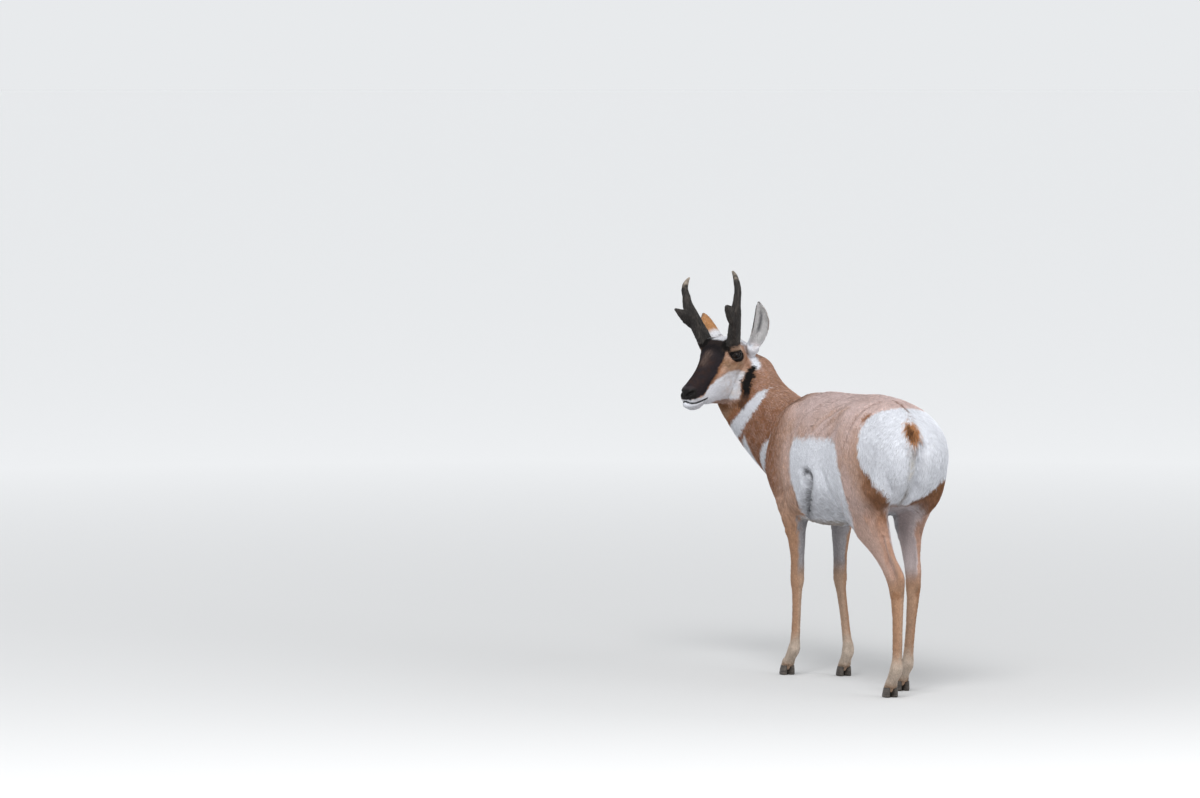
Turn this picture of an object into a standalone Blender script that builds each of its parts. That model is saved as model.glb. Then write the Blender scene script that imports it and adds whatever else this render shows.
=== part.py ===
"""Pronghorn buck, a still life-size model: it stands on four feet and looks back over its left shoulder.

Metres, +Z up. The body faces -Y, its left side is +X and its soles stand at z = 0.
The flesh is lofted, fused and smoothed whole, then parted into named nodes by thin cuts.
"""

from collections import namedtuple
from math import cos, pi, radians, sin, tau

import bmesh
import bpy
import numpy as np
from mathutils import Matrix, Vector

# Driving dimensions
GAP = 0.0003
CUT_GAP = 0.0004
BODY_VOXEL = 0.0065
HEAD_VOXEL = 0.0031
BODY_SMOOTHING = 6
HEAD_SMOOTHING = 5
BODY_TRIANGLES = 5600
HEAD_TRIANGLES = 3820

# Pose of the head: it looks back over the left shoulder
HEAD_AT = Vector((0.200, -0.545, 0.978))
HEAD_TURN = radians(119)
HEAD_DROP = radians(9)
HEAD_ROLL = radians(-2.8)

Section = namedtuple("Section", "along top bottom half_width widest upper_power lower_power")
Joint = namedtuple("Joint", "ahead out height half_width front back")
Stroke = namedtuple("Stroke", "radius push path")
Material = namedtuple("Material", "colour roughness")

MATERIALS = {
    "tan_coat": Material((0.52, 0.30, 0.17), 0.85),
    "white_coat": Material((0.86, 0.84, 0.80), 0.85),
    "horn": Material((0.045, 0.038, 0.032), 0.55),
    "eye": Material((0.008, 0.007, 0.007), 0.08),
    "hoof": Material((0.03, 0.028, 0.026), 0.5),
}

# Side profile and width of the trunk, from buttock to breast
TRUNK = [
    Section(-0.512, 0.765, 0.700, 0.035, 0.732, 2.0, 2.0),
    Section(-0.500, 0.800, 0.655, 0.084, 0.730, 2.0, 2.0),
    Section(-0.460, 0.834, 0.605, 0.118, 0.725, 2.1, 2.0),
    Section(-0.400, 0.864, 0.572, 0.138, 0.715, 2.2, 2.1),
    Section(-0.320, 0.885, 0.555, 0.147, 0.705, 2.2, 2.2),
    Section(-0.230, 0.893, 0.533, 0.150, 0.695, 2.2, 2.2),
    Section(-0.120, 0.888, 0.505, 0.148, 0.680, 2.2, 2.3),
    Section(0.000, 0.885, 0.484, 0.153, 0.665, 2.1, 2.3),
    Section(0.100, 0.885, 0.478, 0.150, 0.655, 2.1, 2.3),
    Section(0.200, 0.882, 0.480, 0.139, 0.655, 2.0, 2.2),
    Section(0.280, 0.874, 0.488, 0.122, 0.660, 1.9, 2.1),
    Section(0.350, 0.850, 0.508, 0.104, 0.665, 1.9, 2.0),
    Section(0.410, 0.826, 0.545, 0.082, 0.675, 2.0, 2.0),
    Section(0.452, 0.760, 0.600, 0.048, 0.680, 2.0, 2.0),
]

# Each leg runs from its root inside the trunk down to the coronet; out is measured from the middle plane
FORELEG_LEFT = [
    Joint(0.205, 0.060, 0.820, 0.030, 0.060, 0.060),
    Joint(0.270, 0.082, 0.740, 0.038, 0.085, 0.090),
    Joint(0.305, 0.088, 0.655, 0.038, 0.080, 0.105),
    Joint(0.262, 0.088, 0.580, 0.038, 0.070, 0.085),
    Joint(0.232, 0.086, 0.520, 0.036, 0.054, 0.062),
    Joint(0.222, 0.080, 0.460, 0.029, 0.037, 0.041),
    Joint(0.218, 0.076, 0.380, 0.021, 0.024, 0.026),
    Joint(0.219, 0.075, 0.325, 0.021, 0.022, 0.021),
    Joint(0.220, 0.075, 0.300, 0.0215, 0.023, 0.022),
    Joint(0.222, 0.075, 0.262, 0.016, 0.016, 0.017),
    Joint(0.230, 0.074, 0.180, 0.0135, 0.0135, 0.0165),
    Joint(0.238, 0.074, 0.112, 0.0150, 0.0150, 0.0170),
    Joint(0.246, 0.074, 0.084, 0.0190, 0.0195, 0.0210),
    Joint(0.270, 0.076, 0.055, 0.0165, 0.0175, 0.0175),
    Joint(0.290, 0.078, 0.022, 0.0205, 0.0240, 0.0240),
]
FORELEG_RIGHT = [
    Joint(0.205, 0.060, 0.820, 0.030, 0.060, 0.060),
    Joint(0.262, 0.082, 0.740, 0.038, 0.085, 0.090),
    Joint(0.300, 0.088, 0.655, 0.038, 0.080, 0.100),
    Joint(0.260, 0.088, 0.580, 0.038, 0.070, 0.082),
    Joint(0.238, 0.086, 0.520, 0.036, 0.054, 0.060),
    Joint(0.236, 0.081, 0.460, 0.029, 0.037, 0.041),
    Joint(0.234, 0.077, 0.380, 0.021, 0.024, 0.026),
    Joint(0.232, 0.076, 0.325, 0.021, 0.022, 0.021),
    Joint(0.229, 0.075, 0.300, 0.0215, 0.023, 0.022),
    Joint(0.219, 0.074, 0.262, 0.016, 0.016, 0.017),
    Joint(0.190, 0.072, 0.180, 0.0135, 0.0135, 0.0165),
    Joint(0.165, 0.070, 0.112, 0.0150, 0.0150, 0.0170),
    Joint(0.157, 0.070, 0.084, 0.0190, 0.0195, 0.0210),
    Joint(0.174, 0.070, 0.055, 0.0165, 0.0175, 0.0175),
    Joint(0.191, 0.070, 0.022, 0.0205, 0.0240, 0.0240),
]
HINDLEG_LEFT = [
    Joint(-0.290, 0.070, 0.800, 0.045, 0.090, 0.090),
    Joint(-0.312, 0.090, 0.730, 0.060, 0.145, 0.150),
    Joint(-0.310, 0.090, 0.660, 0.060, 0.160, 0.160),
    Joint(-0.305, 0.084, 0.590, 0.054, 0.150, 0.143),
    Joint(-0.318, 0.076, 0.530, 0.041, 0.100, 0.102),
    Joint(-0.358, 0.066, 0.470, 0.030, 0.060, 0.060),
    Joint(-0.402, 0.060, 0.415, 0.0225, 0.037, 0.034),
    Joint(-0.448, 0.057, 0.360, 0.0205, 0.029, 0.028),
    Joint(-0.466, 0.056, 0.325, 0.0215, 0.027, 0.027),
    Joint(-0.472, 0.056, 0.280, 0.0175, 0.0205, 0.022),
    Joint(-0.473, 0.056, 0.200, 0.0145, 0.0165, 0.0185),
    Joint(-0.470, 0.056, 0.120, 0.0150, 0.0165, 0.0175),
    Joint(-0.464, 0.056, 0.086, 0.0190, 0.0200, 0.0210),
    Joint(-0.440, 0.056, 0.056, 0.0165, 0.0175, 0.0175),
    Joint(-0.421, 0.056, 0.022, 0.0200, 0.0235, 0.0235),
]
HINDLEG_RIGHT = [
    Joint(-0.280, 0.070, 0.800, 0.045, 0.090, 0.090),
    Joint(-0.304, 0.090, 0.730, 0.060, 0.145, 0.155),
    Joint(-0.302, 0.086, 0.660, 0.054, 0.155, 0.165),
    Joint(-0.290, 0.078, 0.590, 0.046, 0.135, 0.140),
    Joint(-0.286, 0.074, 0.530, 0.038, 0.092, 0.096),
    Joint(-0.300, 0.067, 0.470, 0.028, 0.058, 0.056),
    Joint(-0.318, 0.062, 0.415, 0.0225, 0.037, 0.034),
    Joint(-0.334, 0.059, 0.360, 0.0205, 0.029, 0.028),
    Joint(-0.340, 0.058, 0.325, 0.0215, 0.027, 0.027),
    Joint(-0.338, 0.057, 0.280, 0.0175, 0.0205, 0.022),
    Joint(-0.326, 0.056, 0.200, 0.0145, 0.0165, 0.0185),
    Joint(-0.314, 0.055, 0.120, 0.0150, 0.0165, 0.0175),
    Joint(-0.307, 0.055, 0.086, 0.0190, 0.0200, 0.0210),
    Joint(-0.284, 0.055, 0.056, 0.0165, 0.0175, 0.0175),
    Joint(-0.266, 0.055, 0.022, 0.0200, 0.0235, 0.0235),
]
LEGS = {
    "left_foreleg": (FORELEG_LEFT, 1),
    "right_foreleg": (FORELEG_RIGHT, -1),
    "left_hindleg": (HINDLEG_LEFT, 1),
    "right_hindleg": (HINDLEG_RIGHT, -1),
}

# The heel's point and cord, measured from the hock joint, and the cord's girths on its way up to the thigh
HOCK_ROW = 8
GASKIN_ROW = 5
GASKIN_DEPTH = 0.80
HOCK_FOOT = Vector((0, 0.018, -0.010))
HOCK_POINT = Vector((0, 0.030, 0.040))
CORD_BOW = Vector((0, 0.004, 0))
CORD_GIRTHS = [
    (0.0130, 0.0130, 0.0120),
    (0.0125, 0.0140, 0.0115),
    (0.0085, 0.0100, 0.0085),
    (0.0160, 0.0180, 0.0160),
]


def catmull_rom(rows, steps):
    """Rows of numbers joined by a smooth curve through each of them."""
    rows = np.asarray(rows, float)
    ends = np.vstack([2 * rows[0] - rows[1], rows, 2 * rows[-1] - rows[-2]])
    made = []
    for before, start, end, after in zip(ends, ends[1:], ends[2:], ends[3:]):
        for t in np.arange(steps) / steps:
            made.append(
                0.5 * (2 * start + (end - before) * t
                       + (2 * before - 5 * start + 4 * end - after) * t**2
                       + (3 * start - before - 3 * end + after) * t**3)
            )
    made.append(rows[-1])
    return np.array(made)


def mesh_object(name, bm):
    """A bmesh as a hidden working object."""
    bmesh.ops.recalc_face_normals(bm, faces=bm.faces)
    if bm.calc_volume(signed=True) < 0:
        bmesh.ops.reverse_faces(bm, faces=bm.faces)
    mesh = bpy.data.meshes.new(name)
    bm.to_mesh(mesh)
    bm.free()
    made = bpy.data.objects.new(name, mesh)
    bpy.context.scene.collection.objects.link(made)
    return made


def superellipse(angle, power):
    """Point of a rounded outline with half-axes of one; a power of two is an ellipse."""
    c, s = cos(angle), sin(angle)
    return abs(c) ** (2 / power) * (1 if c >= 0 else -1), abs(s) ** (2 / power) * (1 if s >= 0 else -1)


def loft(name, rings):
    """A closed skin over rings of points, capped at both ends."""
    bm = bmesh.new()
    loops = [[bm.verts.new(p) for p in ring] for ring in rings]
    count = len(loops[0])
    for low, high in zip(loops, loops[1:]):
        for i in range(count):
            bm.faces.new((low[i], low[(i + 1) % count], high[(i + 1) % count], high[i]))
    bm.faces.new(loops[0])
    bm.faces.new(loops[-1])
    return mesh_object(name, bm)


def trunk_ring(row, sides):
    """One upright section across the trunk."""
    along, top, bottom, half_width, widest, upper_power, lower_power = row
    ring = []
    for i in range(sides):
        angle = tau * i / sides
        upper = sin(angle) >= 0
        across, rise = superellipse(angle, upper_power if upper else lower_power)
        height = (top - widest) if upper else (widest - bottom)
        ring.append(Vector((half_width * across, -along, widest + height * rise)))
    return ring


def trunk(sides=40):
    return loft("trunk", [trunk_ring(row, sides) for row in catmull_rom(TRUNK, 4)])


def oval_ring(centre, side, ahead, half_width, front, back, sides, power=2.1):
    """One section across a limb, with its own reach to the front and to the back."""
    ring = []
    for i in range(sides):
        across, forth = superellipse(tau * i / sides, power)
        reach = front if forth >= 0 else back
        ring.append(centre + side * (half_width * across) + ahead * (reach * forth))
    return ring


def tangents(centres):
    return np.gradient(centres, axis=0)


def limb(name, rows, side_of, sides=20, steps=4, power=2.1):
    """A limb through rows of centre x, y, z, half width, front and back reach."""
    rows = catmull_rom(rows, steps)
    rings = []
    for i, (row, run) in enumerate(zip(rows, tangents(rows[:, :3]))):
        run = Vector(run).normalized()
        side = side_of(i / (len(rows) - 1))
        side = (side - run * side.dot(run)).normalized()
        rings.append(oval_ring(Vector(row[:3]), side, run.cross(side), *row[3:6], sides, power))
    return loft(name, rings)


def leg(name, joints, hand):
    rows = [(hand * j.out, -j.ahead, j.height, j.half_width, j.front, j.back) for j in joints]
    return limb(name, rows, lambda t: Vector((1, 0, 0)))


def heel_cord(name, joints, hand):
    """The hock's point and the cord that runs up from it to the back of the thigh."""
    hock, gaskin = joints[HOCK_ROW], joints[GASKIN_ROW]
    middle = Vector((hand * hock.out, -hock.ahead, hock.height))
    point = middle + HOCK_POINT
    upper = Vector((hand * gaskin.out, GASKIN_DEPTH * gaskin.back - gaskin.ahead, gaskin.height))
    bowed = point.lerp(upper, 0.45) + CORD_BOW
    places = (middle + HOCK_FOOT, point, bowed, upper)
    rows = [(*place, *girth) for place, girth in zip(places, CORD_GIRTHS)]
    return limb(name, rows, lambda t: Vector((1, 0, 0)), sides=12)


# The head, in its own frame: x is forward from between the eyes, y is to its left and z is up
HEAD_SECTIONS = [
    Section(-0.135, -0.005, -0.095, 0.030, -0.045, 2.0, 2.0),
    Section(-0.118, 0.024, -0.122, 0.046, -0.036, 2.0, 2.0),
    Section(-0.090, 0.045, -0.142, 0.054, -0.022, 2.2, 1.9),
    Section(-0.060, 0.055, -0.152, 0.057, -0.008, 2.4, 1.9),
    Section(-0.030, 0.058, -0.151, 0.059, 0.004, 2.7, 1.8),
    Section(0.000, 0.055, -0.147, 0.059, 0.006, 2.8, 1.7),
    Section(0.030, 0.041, -0.142, 0.052, -0.010, 2.3, 1.7),
    Section(0.060, 0.020, -0.136, 0.040, -0.034, 1.9, 1.8),
    Section(0.090, -0.005, -0.135, 0.032, -0.056, 1.8, 1.9),
    Section(0.120, -0.027, -0.134, 0.0280, -0.073, 1.9, 2.1),
    Section(0.145, -0.043, -0.134, 0.0265, -0.083, 2.0, 2.1),
    Section(0.164, -0.055, -0.129, 0.0255, -0.089, 2.1, 2.0),
    Section(0.177, -0.065, -0.117, 0.021, -0.091, 2.2, 2.0),
    Section(0.185, -0.077, -0.102, 0.012, -0.088, 2.0, 2.0),
]
EYE_AT = Vector((-0.014, 0.0470, 0.009))
EYE_RADIUS = 0.0235
EYE_AHEAD = radians(20)
LID_OPENING = (0.0232, 0.0150, 0.0130)
LID_THICKNESS = 0.0028
LID_STAND = 0.002
LID_SLANT = radians(10)

# Where the head is parted from the neck, below the jaw and behind the ears, and the way that face looks
HEAD_CUT_AT = Vector((-0.108, 0.051, -0.118))
HEAD_CUT_FACING = Vector((-0.55, 0.30, -0.78))
HEAD_ZONE = Vector((0.44, 0.70, 0.34))
HEAD_ZONE_AHEAD = 0.14

# Neck: centre x, y, z, then its half width and its reach to the nape and to the throat
NECK_ROWS = [
    (0.000, -0.270, 0.690, 0.092, 0.150, 0.150),
    (0.010, -0.365, 0.720, 0.090, 0.134, 0.164),
    (0.034, -0.447, 0.764, 0.082, 0.118, 0.150),
    (0.064, -0.512, 0.818, 0.075, 0.104, 0.130),
    (0.090, -0.554, 0.868, 0.070, 0.103, 0.112),
    (0.110, -0.578, 0.913, 0.066, 0.102, 0.098),
    (0.128, -0.592, 0.950, 0.060, 0.078, 0.075),
]
NECK_TWIST = radians(96)
NECK_TWIST_LATE = 1.3


def head_matrix():
    """Turns the head to the animal's left, drops the nose and rolls it."""
    facing = Matrix.Rotation(-pi / 2 + HEAD_TURN, 4, "Z")
    drop = Matrix.Rotation(HEAD_DROP, 4, "Y")
    roll = Matrix.Rotation(HEAD_ROLL, 4, "X")
    return Matrix.Translation(HEAD_AT) @ facing @ drop @ roll


def head_ring(row, sides):
    along, top, bottom, half_width, widest, upper_power, lower_power = row
    ring = []
    for i in range(sides):
        angle = tau * i / sides
        upper = sin(angle) >= 0
        across, rise = superellipse(angle, upper_power if upper else lower_power)
        height = (top - widest) if upper else (widest - bottom)
        ring.append(Vector((along, half_width * across, widest + height * rise)))
    return ring


def skull(sides=36):
    return loft("skull", [head_ring(row, sides) for row in catmull_rom(HEAD_SECTIONS, 4)])


def neck():
    """The neck leans forward out of the trunk and twists to the left on its way up."""
    return limb(
        "neck_core",
        NECK_ROWS,
        lambda t: Vector((cos(NECK_TWIST * t**NECK_TWIST_LATE), sin(NECK_TWIST * t**NECK_TWIST_LATE), 0)),
        sides=32,
        power=2.0,
    )


# Sculpted forms of the head, in its own frame; each is mirrored to the other side
HEAD_STROKES = [
    Stroke(0.036, 0.011, [(-0.010, 0.046, 0.036), (-0.004, 0.050, 0.040)]),
    Stroke(0.014, 0.002, [(0.030, 0.050, 0.026), (-0.001, 0.058, 0.035), (-0.032, 0.057, 0.026)]),
    Stroke(0.022, -0.003, [(0.046, 0.045, -0.010), (0.058, 0.040, -0.022)]),
    Stroke(0.024, 0.003, [(0.050, 0.042, -0.044), (0.010, 0.058, -0.040), (-0.040, 0.060, -0.028)]),
    Stroke(0.036, -0.004, [(0.085, 0.034, -0.078), (0.055, 0.040, -0.084)]),
    Stroke(0.038, 0.003, [(-0.030, 0.050, -0.080), (-0.006, 0.044, -0.112)]),
    Stroke(0.026, -0.005, [(-0.078, 0.050, -0.050), (-0.066, 0.046, -0.100), (-0.046, 0.036, -0.142)]),
    Stroke(0.030, 0.007, [(-0.088, 0.046, 0.016), (-0.094, 0.050, 0.026)]),
    Stroke(0.012, 0.0022, [(0.178, 0.0, -0.094), (0.164, 0.018, -0.095), (0.140, 0.025, -0.099)]),
    Stroke(0.012, 0.0018, [(0.176, 0.0, -0.115), (0.158, 0.018, -0.119), (0.130, 0.025, -0.121)]),
    Stroke(0.0056, -0.0048, [(0.188, 0.0, -0.1035), (0.177, 0.014, -0.105), (0.155, 0.0235, -0.1065)]),
    Stroke(0.0056, -0.0048, [(0.149, 0.0245, -0.1070), (0.128, 0.027, -0.1095), (0.112, 0.030, -0.1135)]),
    Stroke(0.013, 0.002, [(0.175, 0.018, -0.072), (0.160, 0.022, -0.066)]),
    Stroke(0.0066, -0.0080, [(0.183, 0.009, -0.086), (0.179, 0.0145, -0.080), (0.168, 0.020, -0.0765)]),
    Stroke(0.022, -0.003, [(0.104, 0.0, -0.136), (0.096, 0.010, -0.136)]),
]

# Sculpted forms of the body, also mirrored
BODY_STROKES = [
    Stroke(0.070, -0.007, [(0.150, -0.140, 0.800), (0.155, -0.130, 0.700), (0.140, -0.125, 0.600)]),
    Stroke(0.075, 0.009, [(0.110, -0.235, 0.790), (0.120, -0.290, 0.690), (0.118, -0.290, 0.620)]),
    Stroke(0.034, -0.008, [(0.050, -0.345, 0.850), (0.090, -0.385, 0.760), (0.090, -0.405, 0.660)]),
    Stroke(0.100, -0.009, [(0.140, 0.130, 0.800), (0.145, 0.105, 0.700)]),
    Stroke(0.040, -0.006, [(0.130, 0.130, 0.640), (0.120, 0.165, 0.570)]),
    Stroke(0.026, -0.006, [(0.115, 0.440, 0.740), (0.125, 0.420, 0.640), (0.100, 0.375, 0.540)]),
    Stroke(0.070, 0.004, [(0.100, 0.190, 0.845), (0.120, 0.205, 0.815)]),
    Stroke(0.028, -0.022, [(0.000, 0.520, 0.760), (0.000, 0.510, 0.680), (0.000, 0.470, 0.590)]),
    Stroke(0.035, 0.007, [(0.110, -0.180, 0.560), (0.105, -0.165, 0.530)]),
    Stroke(0.034, -0.008, [(0.000, -0.440, 0.650), (0.000, -0.390, 0.540)]),
    Stroke(0.030, 0.005, [(0.000, -0.150, 0.895), (0.000, 0.050, 0.895), (0.000, 0.250, 0.900)]),
]

# Horns, in the head's frame: centre x, y, z, then half width and reach forward and back
HORN_BEAM = [
    (-0.003, 0.032, -0.006, 0.0140, 0.0220, 0.0220),
    (-0.006, 0.054, 0.046, 0.0180, 0.0275, 0.0275),
    (0.004, 0.070, 0.092, 0.0162, 0.0260, 0.0250),
    (0.014, 0.084, 0.135, 0.0150, 0.0235, 0.0220),
    (0.019, 0.0925, 0.162, 0.0136, 0.0195, 0.0185),
    (0.018, 0.0970, 0.190, 0.0118, 0.0135, 0.0130),
]
LEFT_TIP = [
    (0.0140, 0.100, 0.218, 0.0108, 0.0118, 0.0118),
    (0.0080, 0.093, 0.246, 0.0094, 0.0100, 0.0100),
    (0.0005, 0.081, 0.268, 0.0070, 0.0074, 0.0074),
    (-0.0045, 0.069, 0.279, 0.0032, 0.0034, 0.0034),
]
RIGHT_TIP = [
    (0.0150, 0.104, 0.210, 0.0104, 0.0116, 0.0116),
    (0.0110, 0.102, 0.228, 0.0086, 0.0092, 0.0092),
    (0.0055, 0.097, 0.241, 0.0052, 0.0054, 0.0054),
    (0.0020, 0.092, 0.2485, 0.0024, 0.0024, 0.0024),
]
LEFT_PRONG = [
    (0.004, 0.080, 0.122, 0.0115, 0.0260, 0.0150),
    (0.032, 0.086, 0.142, 0.0115, 0.0240, 0.0240),
    (0.056, 0.091, 0.168, 0.0100, 0.0150, 0.0180),
    (0.071, 0.095, 0.184, 0.0050, 0.0060, 0.0050),
]
RIGHT_PRONG = [
    (0.004, 0.080, 0.110, 0.0120, 0.0290, 0.0150),
    (0.032, 0.086, 0.130, 0.0120, 0.0270, 0.0200),
    (0.057, 0.093, 0.147, 0.0095, 0.0150, 0.0110),
    (0.076, 0.099, 0.161, 0.0040, 0.0040, 0.0034),
]
HORN_SIDES = 12
RIGHT_HORN_SPREAD = 1.05

# Ears, in the head's frame: root, tip, the way the cup opens, and how far the middle bows out
Ear = namedtuple("Ear", "root tip opening bow")
EARS = {
    "left": Ear(
        root=Vector((-0.096, 0.062, 0.026)),
        tip=Vector((-0.089, 0.101, 0.168)),
        opening=Vector((0.70, 0.70, 0.05)),
        bow=0.017,
    ),
    "right": Ear(
        root=Vector((-0.094, -0.060, 0.033)),
        tip=Vector((-0.136, -0.160, 0.102)),
        opening=Vector((-0.10, -0.55, -0.80)),
        bow=0.010,
    ),
}
EAR_THICKNESS = 0.0030
EAR_STEPS = 11
EAR_SIDES = 8

# Half the ear's breadth from root to point, and how far round it wraps: a tube at first, then an open leaf
EAR_BREADTHS = [(0.0, 0.0200), (0.15, 0.0215), (0.35, 0.0250), (0.55, 0.0250), (0.8, 0.0175), (1.0, 0.0024)]
EAR_WRAPS = [(0.0, 2.30), (0.2, 1.75), (0.45, 1.25), (1.0, 0.85)]
EAR_SEAT = 0.55

# The ear's round root inside the skull: its start, where its middle lies, then its girth on the way out
EAR_INSIDE = Vector((-0.088, 0.026, -0.012))
EAR_ROOT_MIDDLE = 0.6
EAR_ROOT_GIRTHS = (0.0150, 0.0210, 0.0225, 0.0130)

# Tail core: centre x, y, z, then half width and reach to the back and to the body
TAIL_ROWS = [
    (0.000, 0.430, 0.812, 0.018, 0.012, 0.012),
    (0.000, 0.474, 0.804, 0.020, 0.012, 0.012),
    (0.000, 0.500, 0.781, 0.021, 0.011, 0.011),
    (0.000, 0.512, 0.745, 0.018, 0.010, 0.010),
    (0.000, 0.513, 0.712, 0.008, 0.005, 0.005),
]
TAIL_SIDES = 10
TAIL_STEPS = 2

# Tail locks, in tiers of three that overlap down the core: places of the tiers along it, how far out the
# outer two start and how much shorter they are, and a lock's form
TAIL_TIERS = (0.48, 0.64, 0.80, 0.95)
OUTER_LOCK_OUT = 0.55
OUTER_LOCK_SHORTER = 0.18
LOCK_LENGTH = 0.058
LOCK_SPREAD = 0.28
LOCK_SUNK = 0.012
LOCK_RISE = 0.004
LOCK_GIRTHS = [(0.0075, 0.0045), (0.0100, 0.0042), (0.0070, 0.0030), (0.0014, 0.0010)]

# Hooves
CORONET = 0.030
CLAW_SLOT = 0.0030
CLAW_TAPER = 0.55
CLAW_ROUNDNESS = 0.8
Claw = namedtuple("Claw", "level heel toe width")
CLAW_LEVELS = [
    Claw(CORONET - GAP, 0.0205, 0.0170, 0.0190),
    Claw(0.018, 0.0200, 0.0260, 0.0205),
    Claw(0.005, 0.0185, 0.0345, 0.0215),
    Claw(0.000, 0.0170, 0.0350, 0.0205),
]

# Cuts: a leg leaves the trunk at a face that rises outward, and is parted again below the knee or the hock
Cut = namedtuple("Cut", "front back inner_height outer_height shank")
LEG_CUTS = {
    "foreleg": Cut(-0.380, -0.145, 0.431, 0.800, 0.302),
    "hindleg": Cut(0.172, 0.545, 0.522, 0.900, 0.292),
}
CUT_INNER = 0.0045
CUT_OUTER = 0.300
CUT_SLOPE = 1.7
LEG_ZONE = Vector((1.0, 2.0, 0.5))

# The face between neck and trunk: a point of it and its lean
NECK_CUT_AT = Vector((0.03, -0.395, 0.755))
NECK_CUT_LEAN = radians(-32)
NECK_ZONE = Vector((0.9, 0.8, 0.8))

# How often the fused body is smoothed over, and where: from above the elbows up to below the head
SOFTENING = 40
SOFT_RISE = ((0.50, 0.64), (0, 1))
SOFT_TO = 0.93


def clear_scene():
    for each in list(bpy.data.objects):
        bpy.data.objects.remove(each)


def evaluated_copy(obj, name, keep=False):
    """The object's evaluated mesh in world space, as a new object."""
    graph = bpy.context.evaluated_depsgraph_get()
    mesh = bpy.data.meshes.new_from_object(obj.evaluated_get(graph))
    mesh.transform(obj.matrix_world)
    if not keep:
        bpy.data.objects.remove(obj)
    made = bpy.data.objects.new(name, mesh)
    bpy.context.scene.collection.objects.link(made)
    return made


def joined(name, pieces):
    bm = bmesh.new()
    for piece in pieces:
        mesh = piece.data.copy()
        mesh.transform(piece.matrix_world)
        bm.from_mesh(mesh)
    return mesh_object(name, bm)


def fused(name, pieces, voxel, smoothing):
    """Overlapping closed pieces as one body of even faces, with its creases smoothed out."""
    whole = joined(name, pieces)
    remesh = whole.modifiers.new("fuse", "REMESH")
    remesh.mode = "VOXEL"
    remesh.voxel_size = voxel
    soften = whole.modifiers.new("soften", "SMOOTH")
    soften.factor = 0.5
    soften.iterations = smoothing
    return evaluated_copy(whole, name)


def softened(obj, weight_at, iterations):
    """The object smoothed only where weight_at says."""
    group = obj.vertex_groups.new(name="soft")
    for vertex in obj.data.vertices:
        group.add([vertex.index], weight_at(vertex.co), "REPLACE")
    soften = obj.modifiers.new("soften", "SMOOTH")
    soften.factor = 0.5
    soften.iterations = iterations
    soften.vertex_group = "soft"
    made = evaluated_copy(obj, obj.name)
    made.vertex_groups.clear()
    return made


def distance_to_path(points, path):
    """Distance from each point to the nearest place on a line of straight pieces."""
    nearest = np.full(len(points), np.inf)
    for start, end in zip(path, path[1:]):
        start = np.array(start)
        run = np.array(end) - start
        along = np.clip((points - start) @ run / (run @ run), 0, 1)
        nearest = np.minimum(nearest, np.linalg.norm(points - start - along[:, None] * run, axis=1))
    return nearest


def sculpt(obj, strokes, frame, mirror):
    """Raises the skin along each stroke, or sinks it where the push is negative, on both sides."""
    mesh = obj.data
    count = len(mesh.vertices)
    points = np.empty(count * 3)
    mesh.vertices.foreach_get("co", points)
    points = points.reshape(-1, 3)
    normals = np.empty(count * 3)
    mesh.vertex_normals.foreach_get("vector", normals)
    normals = normals.reshape(-1, 3)
    inverse = np.array(frame.inverted())
    local = points @ inverse[:3, :3].T + inverse[:3, 3]
    lift = np.zeros(count)
    for stroke in strokes:
        sides = (np.ones(3), np.array(mirror))
        if all(p[mirror.index(-1)] == 0 for p in stroke.path):
            sides = (np.ones(3),)
        for side in sides:
            far = distance_to_path(local * side, stroke.path) / stroke.radius
            lift += stroke.push * np.where(far < 1, (1 - np.minimum(far, 1) ** 2) ** 2, 0)
    mesh.vertices.foreach_set("co", (points + normals * lift[:, None]).ravel())
    mesh.update()


def thinned(obj, triangles):
    """The object with its faces merged down to about the given number of triangles."""
    tri = obj.modifiers.new("triangles", "TRIANGULATE")
    tri.quad_method = "BEAUTY"
    thin = obj.modifiers.new("thin", "DECIMATE")
    count = sum(len(face.vertices) - 2 for face in obj.data.polygons)
    thin.ratio = triangles / count
    return evaluated_copy(obj, obj.name)


def box(name, centre, size, turn=Matrix.Identity(4), grow=0.0):
    bm = bmesh.new()
    bmesh.ops.create_cube(bm, size=1.0)
    scale = Matrix.Diagonal((size[0] + 2 * grow, size[1] + 2 * grow, size[2] + 2 * grow, 1))
    bmesh.ops.transform(bm, matrix=Matrix.Translation(centre) @ turn @ scale, verts=bm.verts)
    return mesh_object(name, bm)


def wedge(name, cut, hand, grow=0.0):
    """The space round one leg, closed above by a face that rises outward."""
    bm = bmesh.new()
    bmesh.ops.create_cube(bm, size=2.0)
    for vertex in bm.verts:
        outer = vertex.co.x > 0
        top = (cut.outer_height if outer else cut.inner_height) + CUT_SLOPE * grow
        vertex.co.x = hand * (CUT_OUTER + grow if outer else CUT_INNER - grow)
        vertex.co.y = cut.back + grow if vertex.co.y > 0 else cut.front - grow
        vertex.co.z = top if vertex.co.z > 0 else -0.1
    return mesh_object(name, bm)


def ball(name, centre, radii, turn=Matrix.Identity(4), around=16, rings=9):
    bm = bmesh.new()
    bmesh.ops.create_uvsphere(bm, u_segments=around, v_segments=rings, radius=1.0)
    scale = Matrix.Diagonal((*radii, 1))
    bmesh.ops.transform(bm, matrix=Matrix.Translation(centre) @ turn @ scale, verts=bm.verts)
    return mesh_object(name, bm)


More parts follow.
